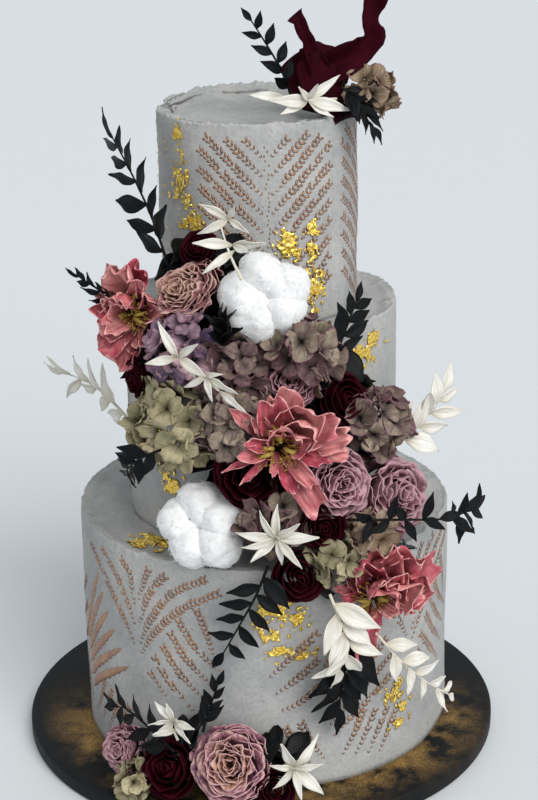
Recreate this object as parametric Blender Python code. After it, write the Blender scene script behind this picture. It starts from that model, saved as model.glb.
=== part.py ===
"""A three-tier wedding cake on its round board, dressed with dried flowers, cotton bolls and ruscus.

Metres, +Z up. The origin is the centre of the board's underside, and the front of the cake is -Y.
The board, the three iced tiers, each flower head and each sprig are solids of their own.
"""

import math
import random
from collections import namedtuple

import bmesh
import bpy
from mathutils import Matrix, Vector
from mathutils.bvhtree import BVHTree

MM = 0.001
UP = Vector((0, 0, 1))
CLEARANCE = 0.4 * MM  # between solids that rest on or against each other

# --- the board and the tiers: cakes of 8, 6 and 4 inches under 3 to 4 mm of icing ---------------
BOARD_RADIUS = 137.5 * MM
BOARD_THICKNESS = 10 * MM
BOARD_ROUNDING = 2.5 * MM
CAKE_OFFSET = 3.5 * MM  # the cake stands this far right of the board's centre

Tier = namedtuple("Tier", "radius foot rim dish")
RIM_LIP = 2.0 * MM  # the ragged edge of the icing stands this far over the top it surrounds
LIP_WIDTH = 6 * MM
TIERS = {
    "tier_bottom": Tier(radius=106 * MM, foot=0, rim=131 * MM, dish=RIM_LIP),
    "tier_middle": Tier(radius=76 * MM, foot=129 * MM, rim=250 * MM, dish=RIM_LIP),
    "tier_top": Tier(radius=54 * MM, foot=248 * MM, rim=356 * MM, dish=1.5 * RIM_LIP),
}
TIER_SIDES = 32

# --- flower heads ------------------------------------------------------------------------------
# Azimuth in degrees from the front towards the right, then millimetres: distance from the cake's
# axis, height over the board, and the head's radius. Tilt lifts the face from level, in degrees.
Head = namedtuple("Head", "kind azimuth distance height radius tilt turn colour")
COLOURS = {
    "coral": (0.62, 0.20, 0.22),
    "rosewood": (0.40, 0.23, 0.20),
    "mauve": (0.38, 0.20, 0.26),
    "burgundy": (0.07, 0.005, 0.015),
    "cotton": (0.86, 0.86, 0.85),
    "sage": (0.30, 0.28, 0.17),
    "heather": (0.25, 0.17, 0.20),
}

HEADS = {
    "peony_left": Head("peony", -53, 88, 258, 28, 0, -20, "coral"),
    "rose_dusty": Head("rose", -27, 84, 276, 19, 25, -10, "rosewood"),
    "rose_burgundy_high": Head("rose", -26, 70, 294, 11, 30, 0, "burgundy"),
    "cotton_high": Head("cotton", 2, 82, 273, 23, 20, 0, "cotton"),
    "hydrangea_plum": Head("hydrangea", -24, 96, 247, 17, 15, -10, "heather"),
    "hydrangea_dusk": Head("hydrangea", -9, 92, 238, 18, 10, 0, "heather"),
    "hydrangea_heather": Head("hydrangea", 13, 95, 246, 17, 25, 10, "heather"),
    "hydrangea_sage": Head("hydrangea", -29, 98, 205, 26, 10, -10, "sage"),
    "rose_burgundy_left": Head("rose", -44, 92, 226, 12, 0, -15, "burgundy"),
    "hydrangea_moss": Head("hydrangea", -10, 100, 212, 17, 10, 0, "sage"),
    "rose_small": Head("rose", 8, 98, 232, 15, 35, 0, "rosewood"),
    "peony_centre": Head("peony", 6, 117, 208, 28, 12, 0, "coral"),
    "rose_burgundy_heart": Head("rose", -3, 104, 186, 20, 5, 0, "burgundy"),
    "rose_burgundy_right": Head("rose", 27, 92, 218, 15, 15, 10, "burgundy"),
    "hydrangea_right": Head("hydrangea", 38, 93, 202, 18, 15, 10, "heather"),
    "rose_mauve_inner": Head("rose", 20, 114, 180, 19, 15, 5, "mauve"),
    "rose_mauve_outer": Head("rose", 40, 107, 163, 24, 22, 5, "mauve"),
    "hydrangea_low": Head("hydrangea", 2, 110, 164, 16, 10, 0, "heather"),
    "cotton_low": Head("cotton", -18, 100, 153, 23, 20, 0, "cotton"),
    "rose_burgundy_low": Head("rose", 15, 118, 160, 13, 10, 0, "burgundy"),
    "rose_burgundy_edge": Head("rose", 9, 117, 133, 15, 5, 0, "burgundy"),
    "hydrangea_edge": Head("hydrangea", 18, 120, 143, 12, 10, 0, "sage"),
    "hydrangea_blush": Head("hydrangea", 27, 120, 151, 13, 10, 0, "heather"),
    "peony_right": Head("peony", 29, 124, 126, 25, 5, 0, "coral"),
    "rose_foot": Head("rose", -9, 124, 26, 22, 30, 0, "mauve"),
    "rose_burgundy_foot": Head("rose", -25, 124, 18, 17, 30, 0, "burgundy"),
    "rose_mauve_foot": Head("rose", -41, 121, 18, 14, 20, 0, "mauve"),
    "hydrangea_foot": Head("hydrangea", -33, 132, 10, 10, 20, 0, "sage"),
    "rose_burgundy_toe": Head("rose", 2, 128, 14, 11, 20, 0, "burgundy"),
    "rose_topper": Head("rose", 66, 39, 371, 19, 25, -45, "burgundy"),
    "hydrangea_topper": Head("hydrangea", 72, 63, 366, 12, 20, 0, "sage"),
}

# The whorls of each kind of head, from its heart to its stalk, in radii of the head: distance from
# its axis, height along it, number of petals, how deeply they part, and the whorl's turn.
Whorl = namedtuple("Whorl", "reach height petals depth turn")
WHORLS = {
    "rose": [
        Whorl(0.00, 0.36, 0, 0.00, 0.0),
        Whorl(0.24, 0.62, 5, 0.12, 0.5),
        Whorl(0.36, 0.44, 5, 0.10, 0.5),
        Whorl(0.60, 0.60, 5, 0.08, 0.0),
        Whorl(0.74, 0.34, 5, 0.06, 0.0),
        Whorl(1.00, 0.20, 5, 0.07, 0.5),
        Whorl(0.80, -0.20, 5, 0.05, 0.5),
        Whorl(0.00, -0.70, 0, 0.00, 0.0),
    ],
    "peony": [
        Whorl(0.00, 0.20, 0, 0.00, 0.0),
        Whorl(0.20, 0.30, 6, 0.15, 0.0),
        Whorl(0.30, 0.10, 6, 0.10, 0.3),
        Whorl(0.66, 0.42, 5, 0.12, 0.0),
        Whorl(0.98, 0.30, 5, 0.17, 0.1),
        Whorl(0.92, 0.10, 5, 0.17, 0.1),
        Whorl(0.52, -0.20, 5, 0.08, 0.1),
        Whorl(0.22, -0.55, 0, 0.00, 0.0),
        Whorl(0.00, -0.60, 0, 0.00, 0.0),
    ],
    "cotton": [
        Whorl(0.00, 0.52, 0, 0.00, 0.0),
        Whorl(0.40, 0.76, 4, 0.12, 0.0),
        Whorl(0.80, 0.56, 4, 0.09, 0.0),
        Whorl(0.98, 0.08, 4, 0.07, 0.0),
        Whorl(0.82, -0.42, 4, 0.06, 0.0),
        Whorl(0.00, -0.76, 0, 0.00, 0.0),
    ],
    "hydrangea": [
        Whorl(0.00, 0.92, 0, 0.00, 0.0),
        Whorl(0.34, 0.84, 5, 0.20, 0.0),
        Whorl(0.66, 0.68, 7, 0.12, 0.5),
        Whorl(0.90, 0.30, 8, 0.10, 0.0),
        Whorl(0.96, -0.10, 8, 0.10, 0.5),
        Whorl(0.66, -0.48, 6, 0.08, 0.0),
        Whorl(0.26, -0.72, 0, 0.00, 0.0),
        Whorl(0.00, -0.76, 0, 0.00, 0.0),
    ],
}
STALK_DEPTH = 3 * MM  # how deep a stalk goes into the icing
STALK_INSET = 10 * MM  # how far inside the rim of the top tier a stalk stands at least
STALK_ROOM = 30 * MM
HEAD_SEGMENTS = {"rose": 10, "peony": 15, "cotton": 12, "hydrangea": 8}

# Long petals that stand out of a head: the head's name, then stations along the petal, each an
# azimuth, a distance and a height as for a head, and the petal's width there in millimetres.
LONG_PETALS = {
    "topper_left": (
        "rose_topper", [(66, 36, 378, 14), (58, 31, 390, 11), (53, 27, 398, 8), (48, 24, 404, 9)]
    ),
    "topper_right": (
        "rose_topper",
        [(72, 44, 376, 18), (74, 55, 388, 17), (76, 60, 402, 14), (78, 61, 416, 15), (79, 59, 427, 11)],
    ),
    "peony_drop": ("peony_right", [(27, 127, 112, 12), (25, 126, 98, 14), (25, 123, 82, 11)]),
    "peony_tongue": ("peony_centre", [(14, 124, 192, 12), (16, 127, 180, 12), (17, 126, 168, 7)]),
}
PETAL_THICKNESS = 1.6 * MM

# --- ruscus sprigs -------------------------------------------------------------------------------
# The leaf length in millimetres, the number of leaves, the angle between leaf and stem in degrees,
# whether the leaves stand all round the stem, and the stem's route as for a head's place.
Sprig = namedtuple("Sprig", "colour leaf leaves splay ringed route")
BLACK = (0.010, 0.012, 0.015)
BLEACHED = (0.72, 0.69, 0.62)
SPRIGS = {
    "ruscus_black_tall": Sprig(
        BLACK, 19, 11, 44, False, [(-42, 70, 280), (-50, 72, 306), (-60, 76, 329), (-69, 81, 346)]
    ),
    "ruscus_black_wing": Sprig(BLACK, 12, 7, 40, False, [(-54, 92, 264), (-58, 100, 271), (-62, 107, 277)]),
    "ruscus_white_high": Sprig(BLEACHED, 20, 8, 52, False, [(-5, 100, 288), (-9, 96, 302), (-13, 88, 316)]),
    "ruscus_black_spike": Sprig(BLACK, 17, 8, 32, True, [(-10, 104, 254), (-10, 108, 260), (-10, 109, 267)]),
    "ruscus_white_left": Sprig(
        BLEACHED, 25, 9, 66, True, [(-18, 108, 238), (-17, 118, 244), (-16, 124, 248)]
    ),
    "ruscus_black_mid": Sprig(BLACK, 17, 9, 40, False, [(22, 98, 240), (27, 95, 255), (33, 91, 269)]),
    "ruscus_white_right": Sprig(
        BLEACHED, 24, 9, 45, False, [(42, 100, 186), (50, 104, 193), (56, 108, 202), (59, 111, 211)]
    ),
    "ruscus_black_right": Sprig(
        BLACK, 16, 10, 48, False, [(19, 132, 168), (29, 138, 166), (45, 137, 156), (59, 132, 150)]
    ),
    "ruscus_black_left": Sprig(
        BLACK, 15, 8, 48, False, [(-24, 126, 204), (-29, 125, 198), (-34, 121, 190), (-39, 114, 182)]
    ),
    "ruscus_white_star": Sprig(BLEACHED, 21, 9, 70, True, [(2, 120, 152), (2, 129, 158), (2, 135, 161)]),
    "ruscus_black_hang": Sprig(
        BLACK, 18, 10, 65, False, [(1, 120, 141), (-2, 121, 125), (-6, 119, 108), (-11, 115, 88)]
    ),
    "ruscus_white_hang": Sprig(
        BLEACHED, 24, 9, 42, False, [(14, 138, 131), (16, 141, 116), (18, 139, 100), (17, 132, 84)]
    ),
    "ruscus_white_trail": Sprig(
        BLEACHED, 18, 10, 42, False, [(26, 132, 101), (33, 132, 80), (43, 128, 58), (55, 124, 38)]
    ),
    "ruscus_black_drop": Sprig(BLACK, 26, 9, 38, False, [(21, 122, 96), (20, 122, 78), (19, 119, 54)]),
    "ruscus_black_foot": Sprig(
        BLACK, 17, 9, 48, False, [(-22, 132, 34), (-29, 128, 42), (-38, 123, 46), (-44, 120, 42)]
    ),
    "ruscus_black_toe": Sprig(BLACK, 12, 8, 32, False, [(-16, 124, 44), (-15, 119, 54), (-13, 115, 68)]),
    "ruscus_white_foot": Sprig(BLEACHED, 18, 9, 60, True, [(-21, 132, 42), (-22, 134, 50), (-24, 134, 56)]),
    "ruscus_white_toe": Sprig(BLEACHED, 22, 8, 50, True, [(4, 128, 28), (7, 131, 32), (9, 134, 38)]),
    "ruscus_black_top": Sprig(
        BLACK, 13, 9, 45, False, [(40, 28, 366), (32, 26, 378), (16, 21, 392), (-6, 18, 404)]
    ),
    "ruscus_black_crown": Sprig(BLACK, 17, 9, 35, False, [(54, 54, 372), (56, 62, 365), (58, 70, 352)]),
    "ruscus_white_top": Sprig(BLEACHED, 22, 8, 55, False, [(50, 54, 366), (32, 50, 367), (8, 44, 369)]),
    "ruscus_white_far": Sprig(
        BLEACHED, 22, 9, 44, False, [(-66, 80, 190), (-80, 86, 196), (-88, 97, 202), (-92, 112, 206)]
    ),
}
STEM_RADIUS = 0.9 * MM
LEAF_BROADEST = 0.42  # where along a leaf it is broadest, over its length
LEAF_BREADTH = 0.46  # its width there, over its length
LEAF_LIFTS = (0.0, 0.35, 0.8, 1.5)  # tried in turn: how far a leaf rises outwards to clear its bed
LEAF_ROOT = 0.3 * MM  # how far a leaf reaches back past the middle of its stem
LEAF_FOLD = 0.06  # half the depth of the fold along the leaf, over its length
ROUTE_STEPS = 4


def place(azimuth, distance, height):
    """A point given by its azimuth in degrees, and its distance and height in millimetres."""
    turn = math.radians(azimuth)
    over_board = BOARD_THICKNESS + height * MM
    return Vector(
        (CAKE_OFFSET + distance * MM * math.sin(turn), -distance * MM * math.cos(turn), over_board)
    )


def outward(point):
    """The level direction from the cake's axis to a point."""
    return Vector((point.x - CAKE_OFFSET, point.y, 0)).normalized()


def plain_material(name, colour, roughness=0.7, metallic=0.0):
    material = bpy.data.materials.get(name) or bpy.data.materials.new(name)
    material.use_nodes = True
    shader = material.node_tree.nodes["Principled BSDF"]
    shader.inputs["Base Color"].default_value = (*colour, 1)
    shader.inputs["Roughness"].default_value = roughness
    shader.inputs["Metallic"].default_value = metallic
    return material


def object_of(name, bm, material=None, helper=False):
    """A new object from bm, with its faces pointing out. A helper is only a cutter."""
    bmesh.ops.recalc_face_normals(bm, faces=bm.faces)
    if bm.calc_volume(signed=True) < 0:
        bmesh.ops.reverse_faces(bm, faces=bm.faces)
    mesh = bpy.data.meshes.new(name)
    bm.to_mesh(mesh)
    bm.free()
    obj = bpy.data.objects.new(name, mesh)
    bpy.context.scene.collection.objects.link(obj)
    if helper:
        obj.hide_render = True
        obj.display_type = "WIRE"
    if material:
        mesh.materials.append(material)
    return obj


def skin(bm, rings):
    """Faces that close a stack of rings. A ring of one vertex is a pole."""
    for lower, upper in zip(rings, rings[1:]):
        count = max(len(lower), len(upper))
        for i in range(count):
            corners = [lower[i % len(lower)], lower[(i + 1) % len(lower)]]
            corners += [upper[(i + 1) % len(upper)], upper[i % len(upper)]]
            bm.faces.new(list(dict.fromkeys(corners)))
    for ring, first in ((rings[0], True), (rings[-1], False)):
        if len(ring) > 1:
            bm.faces.new(ring[::-1] if first else ring)


def combine(obj, operation, other):
    """Adds a Boolean. Every body here is closed, which is all that the MANIFOLD solver needs."""
    modifier = obj.modifiers.new(operation.lower() + "_" + other.name, "BOOLEAN")
    modifier.operation = operation
    modifier.solver = "MANIFOLD"
    modifier.object = other


def settle(obj):
    """Applies the object's Booleans and keeps the largest body that they leave."""
    bpy.context.view_layer.update()
    cut = obj.evaluated_get(bpy.context.evaluated_depsgraph_get())
    bm = bmesh.new()
    bm.from_mesh(cut.to_mesh())
    cut.to_mesh_clear()
    bmesh.ops.triangulate(bm, faces=bm.faces)
    bodies = []
    left = set(bm.faces)
    while left:
        body = set()
        found = {next(iter(left))}
        while found:
            body |= found
            seams = {e for f in found for e in f.edges if len(e.link_faces) == 2}
            found = {n for e in seams for n in e.link_faces} - body
        left -= body
        bodies.append(body)
    largest = max(bodies, key=lambda body: sum(f.calc_area() for f in body))
    bmesh.ops.delete(bm, geom=[f for f in bm.faces if f not in largest], context="FACES")
    obj.modifiers.clear()
    bm.to_mesh(obj.data)
    bm.free()


# --- board and tiers -------------------------------------------------------------------------------


def board():
    bpy.ops.mesh.primitive_cylinder_add(
        vertices=40, radius=BOARD_RADIUS, depth=BOARD_THICKNESS, location=(0, 0, BOARD_THICKNESS / 2)
    )
    obj = bpy.context.object
    obj.name = "cake_board"
    rounding = obj.modifiers.new("rounding", "BEVEL")
    rounding.width = BOARD_ROUNDING
    rounding.segments = 1
    rounding.limit_method = "ANGLE"
    obj.data.materials.append(plain_material("stained_board", (0.03, 0.03, 0.028), 0.5))
    return obj


def waviness(azimuth, size):
    """How far an iced rim stands out or up at an azimuth: spatula strokes of uneven length."""
    strokes = math.sin(3 * azimuth + 1) + 0.7 * math.sin(7 * azimuth) + 0.5 * math.sin(13 * azimuth)
    return size * strokes / 2.2


def tier(name, size, sides=TIER_SIDES):
    """An iced cake: a straight wall, an uneven lip round its top, and the flat top inside the lip."""
    floor = BOARD_THICKNESS + CLEARANCE
    profile = [
        (size.radius - 0.8 * MM, size.foot, 0),
        (size.radius, size.foot + 3 * MM, 0),
        (size.radius, size.rim - 2.5 * MM, 0.3),
        (size.radius - 1.2 * MM, size.rim - 0.5 * MM, 1),
        (size.radius - LIP_WIDTH, size.rim - size.dish, 0),
    ]
    bm = bmesh.new()
    rings = []
    for reach, height, unevenness in profile:
        ring = []
        for i in range(sides):
            turn = 2 * math.pi * i / sides
            wave = unevenness * waviness(turn, 0.5 * MM)
            at = Vector(((reach + 0.3 * wave) * math.cos(turn), (reach + 0.3 * wave) * math.sin(turn), 0))
            ring.append(bm.verts.new(at + Vector((CAKE_OFFSET, 0, floor + height + wave))))
        rings.append(ring)
    skin(bm, rings)
    return object_of(name, bm, plain_material("grey_icing", (0.50, 0.50, 0.50), 0.8))


def tier_clearance(name, size):
    """The space that flowers and sprigs keep out of round a tier."""
    bm = bmesh.new()
    height = size.rim - size.foot + 8 * MM
    bmesh.ops.create_cone(
        bm, cap_ends=True, segments=TIER_SIDES, radius1=size.radius + 2 * CLEARANCE,
        radius2=size.radius + 2 * CLEARANCE, depth=height,
    )
    top = BOARD_THICKNESS + size.rim + 2 * CLEARANCE
    bmesh.ops.translate(bm, verts=bm.verts, vec=(CAKE_OFFSET, 0, top - height / 2))
    return object_of(name, bm, helper=True)


def board_clearance():
    bm = bmesh.new()
    depth = 60 * MM
    bmesh.ops.create_cube(bm, size=1)
    bmesh.ops.scale(bm, verts=bm.verts, vec=(0.5, 0.5, depth))
    bmesh.ops.translate(bm, verts=bm.verts, vec=(0, 0, BOARD_THICKNESS + CLEARANCE - depth / 2))
    return object_of("board_clearance", bm, helper=True)


# --- flower heads ------------------------------------------------------------------------------------


def facing(head):
    """The direction that a head looks in: out from the cake, turned aside and tilted up."""
    turn = math.radians(head.azimuth + head.turn)
    tilt = math.radians(head.tilt)
    return Vector(
        (math.sin(turn) * math.cos(tilt), -math.cos(turn) * math.cos(tilt), math.sin(tilt))
    )


def head_matrix(head):
    """Takes a head modelled round +Z to its place and facing."""
    turned = facing(head).to_track_quat("Z", "Y").to_matrix().to_4x4()
    return Matrix.Translation(place(head.azimuth, head.distance, head.height)) @ turned


def rooted_at(head):
    """Where the stalk of a head goes into the icing: the wall behind it, or the top tier's top under it."""
    if head.height * MM > TIERS["tier_top"].rim:
        inside = min(head.distance, (TIERS["tier_top"].radius - STALK_INSET) / MM)
        return place(head.azimuth, inside, (TIERS["tier_top"].rim - STALK_DEPTH) / MM)
    wall = max(size.radius for size in TIERS.values() if head.height * MM < size.rim)
    return place(head.azimuth, (wall - STALK_DEPTH) / MM, head.height)


def head_mesh(head):
    """The whorls of a head, joined from its heart to its stalk, which tapers into the icing."""
    bm = bmesh.new()
    segments = HEAD_SEGMENTS[head.kind]
    radius = head.radius * MM
    rings = []
    for whorl in WHORLS[head.kind]:
        if whorl.reach == 0:
            rings.append([bm.verts.new((0, 0, whorl.height * radius))])
            continue
        ring = []
        for i in range(segments):
            turn = 2 * math.pi * i / segments
            petal = math.cos(whorl.petals * turn + 2 * math.pi * whorl.turn)
            reach = whorl.reach * radius * (1 + whorl.depth * petal)
            rise = whorl.height * radius * (1 + 0.5 * whorl.depth * petal)
            ring.append(bm.verts.new((reach * math.cos(turn), reach * math.sin(turn), rise)))
        rings.append(ring)
    skin(bm, rings)
    bmesh.ops.transform(bm, matrix=head_matrix(head), verts=bm.verts)
    rings[-1][0].co = rooted_at(head)
    return bm


def cell_of(name):
    """The room of one head: a block cut off half way to each other head."""
    head = HEADS[name]
    centre = place(head.azimuth, head.distance, head.height)
    reach = 1.25 * head.radius * MM + STALK_ROOM
    bm = bmesh.new()
    bmesh.ops.create_cube(bm, size=2 * reach)
    bmesh.ops.translate(bm, verts=bm.verts, vec=centre)
    for other in HEADS.values():
        across = place(other.azimuth, other.distance, other.height) - centre
        apart = across.length
        if other is head or apart > 2 * reach:
            continue
        share = (apart**2 + (head.radius * MM) ** 2 - (other.radius * MM) ** 2) / (2 * apart)
        cut = centre + across.normalized() * (share - CLEARANCE / 2)
        bmesh.ops.bisect_plane(
            bm, geom=bm.verts[:] + bm.edges[:] + bm.faces[:], plane_co=cut, plane_no=across, clear_outer=True
        )
        bmesh.ops.holes_fill(bm, edges=[e for e in bm.edges if e.is_boundary], sides=0)
    return object_of("cell_" + name, bm, helper=True)


def long_petal(name, head, stations):
    """A tall petal as a tapered, slightly cupped strip through its stations."""
    bm = bmesh.new()
    rings = []
    points = [place(*station[:3]) for station in stations]
    for i, (point, station) in enumerate(zip(points, stations)):
        along = (points[min(i + 1, len(points) - 1)] - points[max(i - 1, 0)]).normalized()
        across = along.cross(facing(head)).normalized()
        out = across.cross(along).normalized()
        half = station[3] * MM / 2
        corners = ((-half, -0.3 * half), (0, PETAL_THICKNESS / 2), (half, -0.3 * half), (0, -PETAL_THICKNESS))
        rings.append([bm.verts.new(point + across * x + out * y) for x, y in corners])
    skin(bm, rings)
    return object_of(name, bm, helper=True)


def flower(name, clearances):
    head = HEADS[name]
    body = object_of(name, head_mesh(head), plain_material(head.colour + "_bloom", COLOURS[head.colour]))
    combine(body, "INTERSECT", cell_of(name))
    for petal_name, (owner, stations) in LONG_PETALS.items():
        if owner == name:
            combine(body, "UNION", long_petal(petal_name, head, stations))
    for clearance in clearances:
        combine(body, "DIFFERENCE", clearance)
    settle(body)
    return body


# --- sprigs ------------------------------------------------------------------------------------------


def smooth_route(stations, steps):
    """Points of an even curve through the stations, as (point, direction)."""
    points = [place(*station) for station in stations]
    ends = [2 * points[0] - points[1], *points, 2 * points[-1] - points[-2]]
    route = []
    spans = len(points) - 1
    for k in range(steps + 1):
        at = k / steps * spans
        i = min(int(at), spans - 1)
        t = at - i
        a, b, c, d = ends[i : i + 4]
        point = 0.5 * (
            2 * b + (c - a) * t + (2 * a - 5 * b + 4 * c - d) * t**2 + (3 * b - a - 3 * c + d) * t**3
        )
        slope = (c - a) + 2 * (2 * a - 5 * b + 4 * c - d) * t + 3 * (3 * b - a - 3 * c + d) * t**2
        route.append((point, slope.normalized()))
    return route


def leaf_frames(name):
    """Where the leaves of a sprig stand: (foot, direction, face, length) for each of them."""
    sprig = SPRIGS[name]
    chance = random.Random(name)
    frames = []
    route = smooth_route(sprig.route, 4 * sprig.leaves)
    for k in range(sprig.leaves):
        share = 0.12 + 0.88 * k / (sprig.leaves - 1)
        point, along = route[round(share * 4 * sprig.leaves)]
        out = outward(point)
        across = along.cross(out).normalized()
        out = across.cross(along).normalized()
        if sprig.ringed:
            round_stem = math.radians(137.5) * k
            aside = across * math.cos(round_stem) + out * math.sin(round_stem)
        else:
            aside = across * (1 if k % 2 else -1) + out * chance.uniform(0.0, 0.35)
        splay = math.radians(sprig.splay + chance.uniform(-9, 9))
        if k == sprig.leaves - 1:
            splay = math.radians(6)
        direction = (along * math.cos(splay) + aside.normalized() * math.sin(splay)).normalized()
        face = (out if not sprig.ringed else along) + across * chance.uniform(-0.35, 0.35)
        face = (face - direction * face.dot(direction)).normalized()
        length = sprig.leaf * MM * (1 - 0.35 * share) * chance.uniform(0.88, 1.12)
        frames.append((point, direction, face, length))
    return frames


def leaf(foot, direction, face, length):
    """A pointed leaf folded along its midrib."""
    across = direction.cross(face)
    bm = bmesh.new()
    middle = foot + direction * LEAF_BROADEST * length
    edge = across * LEAF_BREADTH * length / 2
    fold = face * LEAF_FOLD * length
    root = [bm.verts.new(foot - direction * LEAF_ROOT)]
    broadest = [bm.verts.new(point) for point in (middle - edge + fold, middle - fold, middle + edge + fold)]
    skin(bm, [root, broadest, [bm.verts.new(foot + direction * length)]])
    return bm


def is_inside(point, tree):
    """Whether a point is inside a closed surface: a line up from it crosses that an odd number of times."""
    crossings = 0
    hit = tree.ray_cast(point, UP)[0]
    while hit:
        crossings += 1
        hit = tree.ray_cast(hit + UP * 0.01 * MM, UP)[0]
    return crossings % 2 == 1


def lifted_leaf(frame, rooms):
    """A leaf raised off the stem's bed until it is clear of the rooms, or None where it never is."""
    foot, direction, face, length = frame
    for lift in LEAF_LIFTS:
        raised = (direction + outward(foot) * lift).normalized()
        upright = (face - raised * face.dot(raised)).normalized()
        bm = leaf(foot, raised, upright, length)
        surface = BVHTree.FromBMesh(bm)
        tip = foot + raised * length
        if not any(surface.overlap(room) or is_inside(tip, room) for room in rooms):
            return bm
        bm.free()
    return None


def stem(route):
    bm = bmesh.new()
    rings = []
    for k, (point, along) in enumerate(route):
        across = along.orthogonal() if k == 0 else across - along * across.dot(along)
        across.normalize()
        third = along.cross(across)
        radius = STEM_RADIUS * (1 - 0.4 * k / len(route))
        ring = []
        for corner in range(3):
            turn = 2 * math.pi * corner / 3
            ring.append(bm.verts.new(point + radius * (across * math.cos(turn) + third * math.sin(turn))))
        rings.append(ring)
    skin(bm, rings)
    return bm


def fattened(obj):
    """The room that what comes later leaves to an object: its own shape, a little larger."""
    bm = bmesh.new()
    bm.from_mesh(obj.data)
    bm.normal_update()
    for vert, shift in [(v, v.normal * 2 * CLEARANCE) for v in bm.verts]:
        vert.co += shift
    return object_of("room_" + obj.name, bm, helper=True)


def surface_tree(obj):
    bm = bmesh.new()
    bm.from_mesh(obj.data)
    tree = BVHTree.FromBMesh(bm)
    bm.free()
    return tree


def ruscus(name, rooms):
    """A sprig of ruscus: its stem, cut off at what it grows out of, and the leaves that are clear."""
    sprig = SPRIGS[name]
    finish = "black_ruscus" if sprig.colour is BLACK else "bleached_ruscus"
    route = smooth_route(sprig.route, ROUTE_STEPS)
    body = object_of(name, stem(route), plain_material(finish, sprig.colour, 0.5))
    for room in rooms:
        combine(body, "DIFFERENCE", room)
    settle(body)
    left_of_stem = surface_tree(body)
    trees = [surface_tree(room) for room in rooms]
    for k, frame in enumerate(leaf_frames(name)):
        found = is_inside(frame[0], left_of_stem) and lifted_leaf(frame, trees)
        if found:
            combine(body, "UNION", object_of(f"{name}_leaf_{k}", found, helper=True))
    settle(body)
    return body


def main():
    for obj in list(bpy.data.objects):
        bpy.data.objects.remove(obj)
    board()
    rooms = [board_clearance()]
    for name, size in TIERS.items():
        tier(name, size)
        rooms.append(tier_clearance("room_" + name, size))
    heads = [flower(name, rooms) for name in HEADS]
    rooms += [fattened(head) for head in heads]
    for name in SPRIGS:
        rooms.append(fattened(ruscus(name, rooms)))


main()
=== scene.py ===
import math
import random
from collections import namedtuple

import bmesh
import bpy
import numpy as np
from mathutils import Matrix, Vector
from mathutils.bvhtree import BVHTree


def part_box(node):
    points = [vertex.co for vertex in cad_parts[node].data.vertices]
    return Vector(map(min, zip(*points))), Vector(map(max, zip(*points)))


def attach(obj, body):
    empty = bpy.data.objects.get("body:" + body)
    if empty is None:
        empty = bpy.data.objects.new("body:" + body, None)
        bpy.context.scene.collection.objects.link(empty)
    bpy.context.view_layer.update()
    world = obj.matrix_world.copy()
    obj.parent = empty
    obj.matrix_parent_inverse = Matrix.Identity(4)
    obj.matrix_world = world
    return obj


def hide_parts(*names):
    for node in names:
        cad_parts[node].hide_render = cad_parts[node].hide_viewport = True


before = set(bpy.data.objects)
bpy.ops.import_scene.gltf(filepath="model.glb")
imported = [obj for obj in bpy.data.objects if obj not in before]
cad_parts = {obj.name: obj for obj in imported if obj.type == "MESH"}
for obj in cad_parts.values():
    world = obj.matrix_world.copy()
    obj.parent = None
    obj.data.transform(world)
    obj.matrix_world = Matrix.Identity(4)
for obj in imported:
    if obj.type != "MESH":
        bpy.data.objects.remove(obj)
bpy.ops.object.select_all(action="DESELECT")
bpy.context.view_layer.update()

MM = 0.001
UP = Vector((0, 0, 1))

# --- places ------------------------------------------------------------------------------------
BOARD_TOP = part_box("cake_board")[1].z
BOARD_RADIUS = (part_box("cake_board")[1].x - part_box("cake_board")[0].x) / 2
CAKE_AXIS = (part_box("tier_bottom")[0].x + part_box("tier_bottom")[1].x) / 2
Tier = namedtuple("Tier", "radius foot rim")  # metres, heights over the board
DISH = {"tier_bottom": 2 * MM, "tier_middle": 2 * MM, "tier_top": 3 * MM}


def measured(node):
    low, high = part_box(node)
    return Tier((high.x - low.x) / 2, low.z - BOARD_TOP, high.z - BOARD_TOP)


TIERS = {node: measured(node) for node in DISH}


def place(azimuth, distance, height):
    """A point from degrees round the cake from its front, and millimetres from its axis and board."""
    turn = math.radians(azimuth)
    return Vector((
        CAKE_AXIS + distance * MM * math.sin(turn),
        -distance * MM * math.cos(turn),
        BOARD_TOP + height * MM,
    ))


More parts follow.
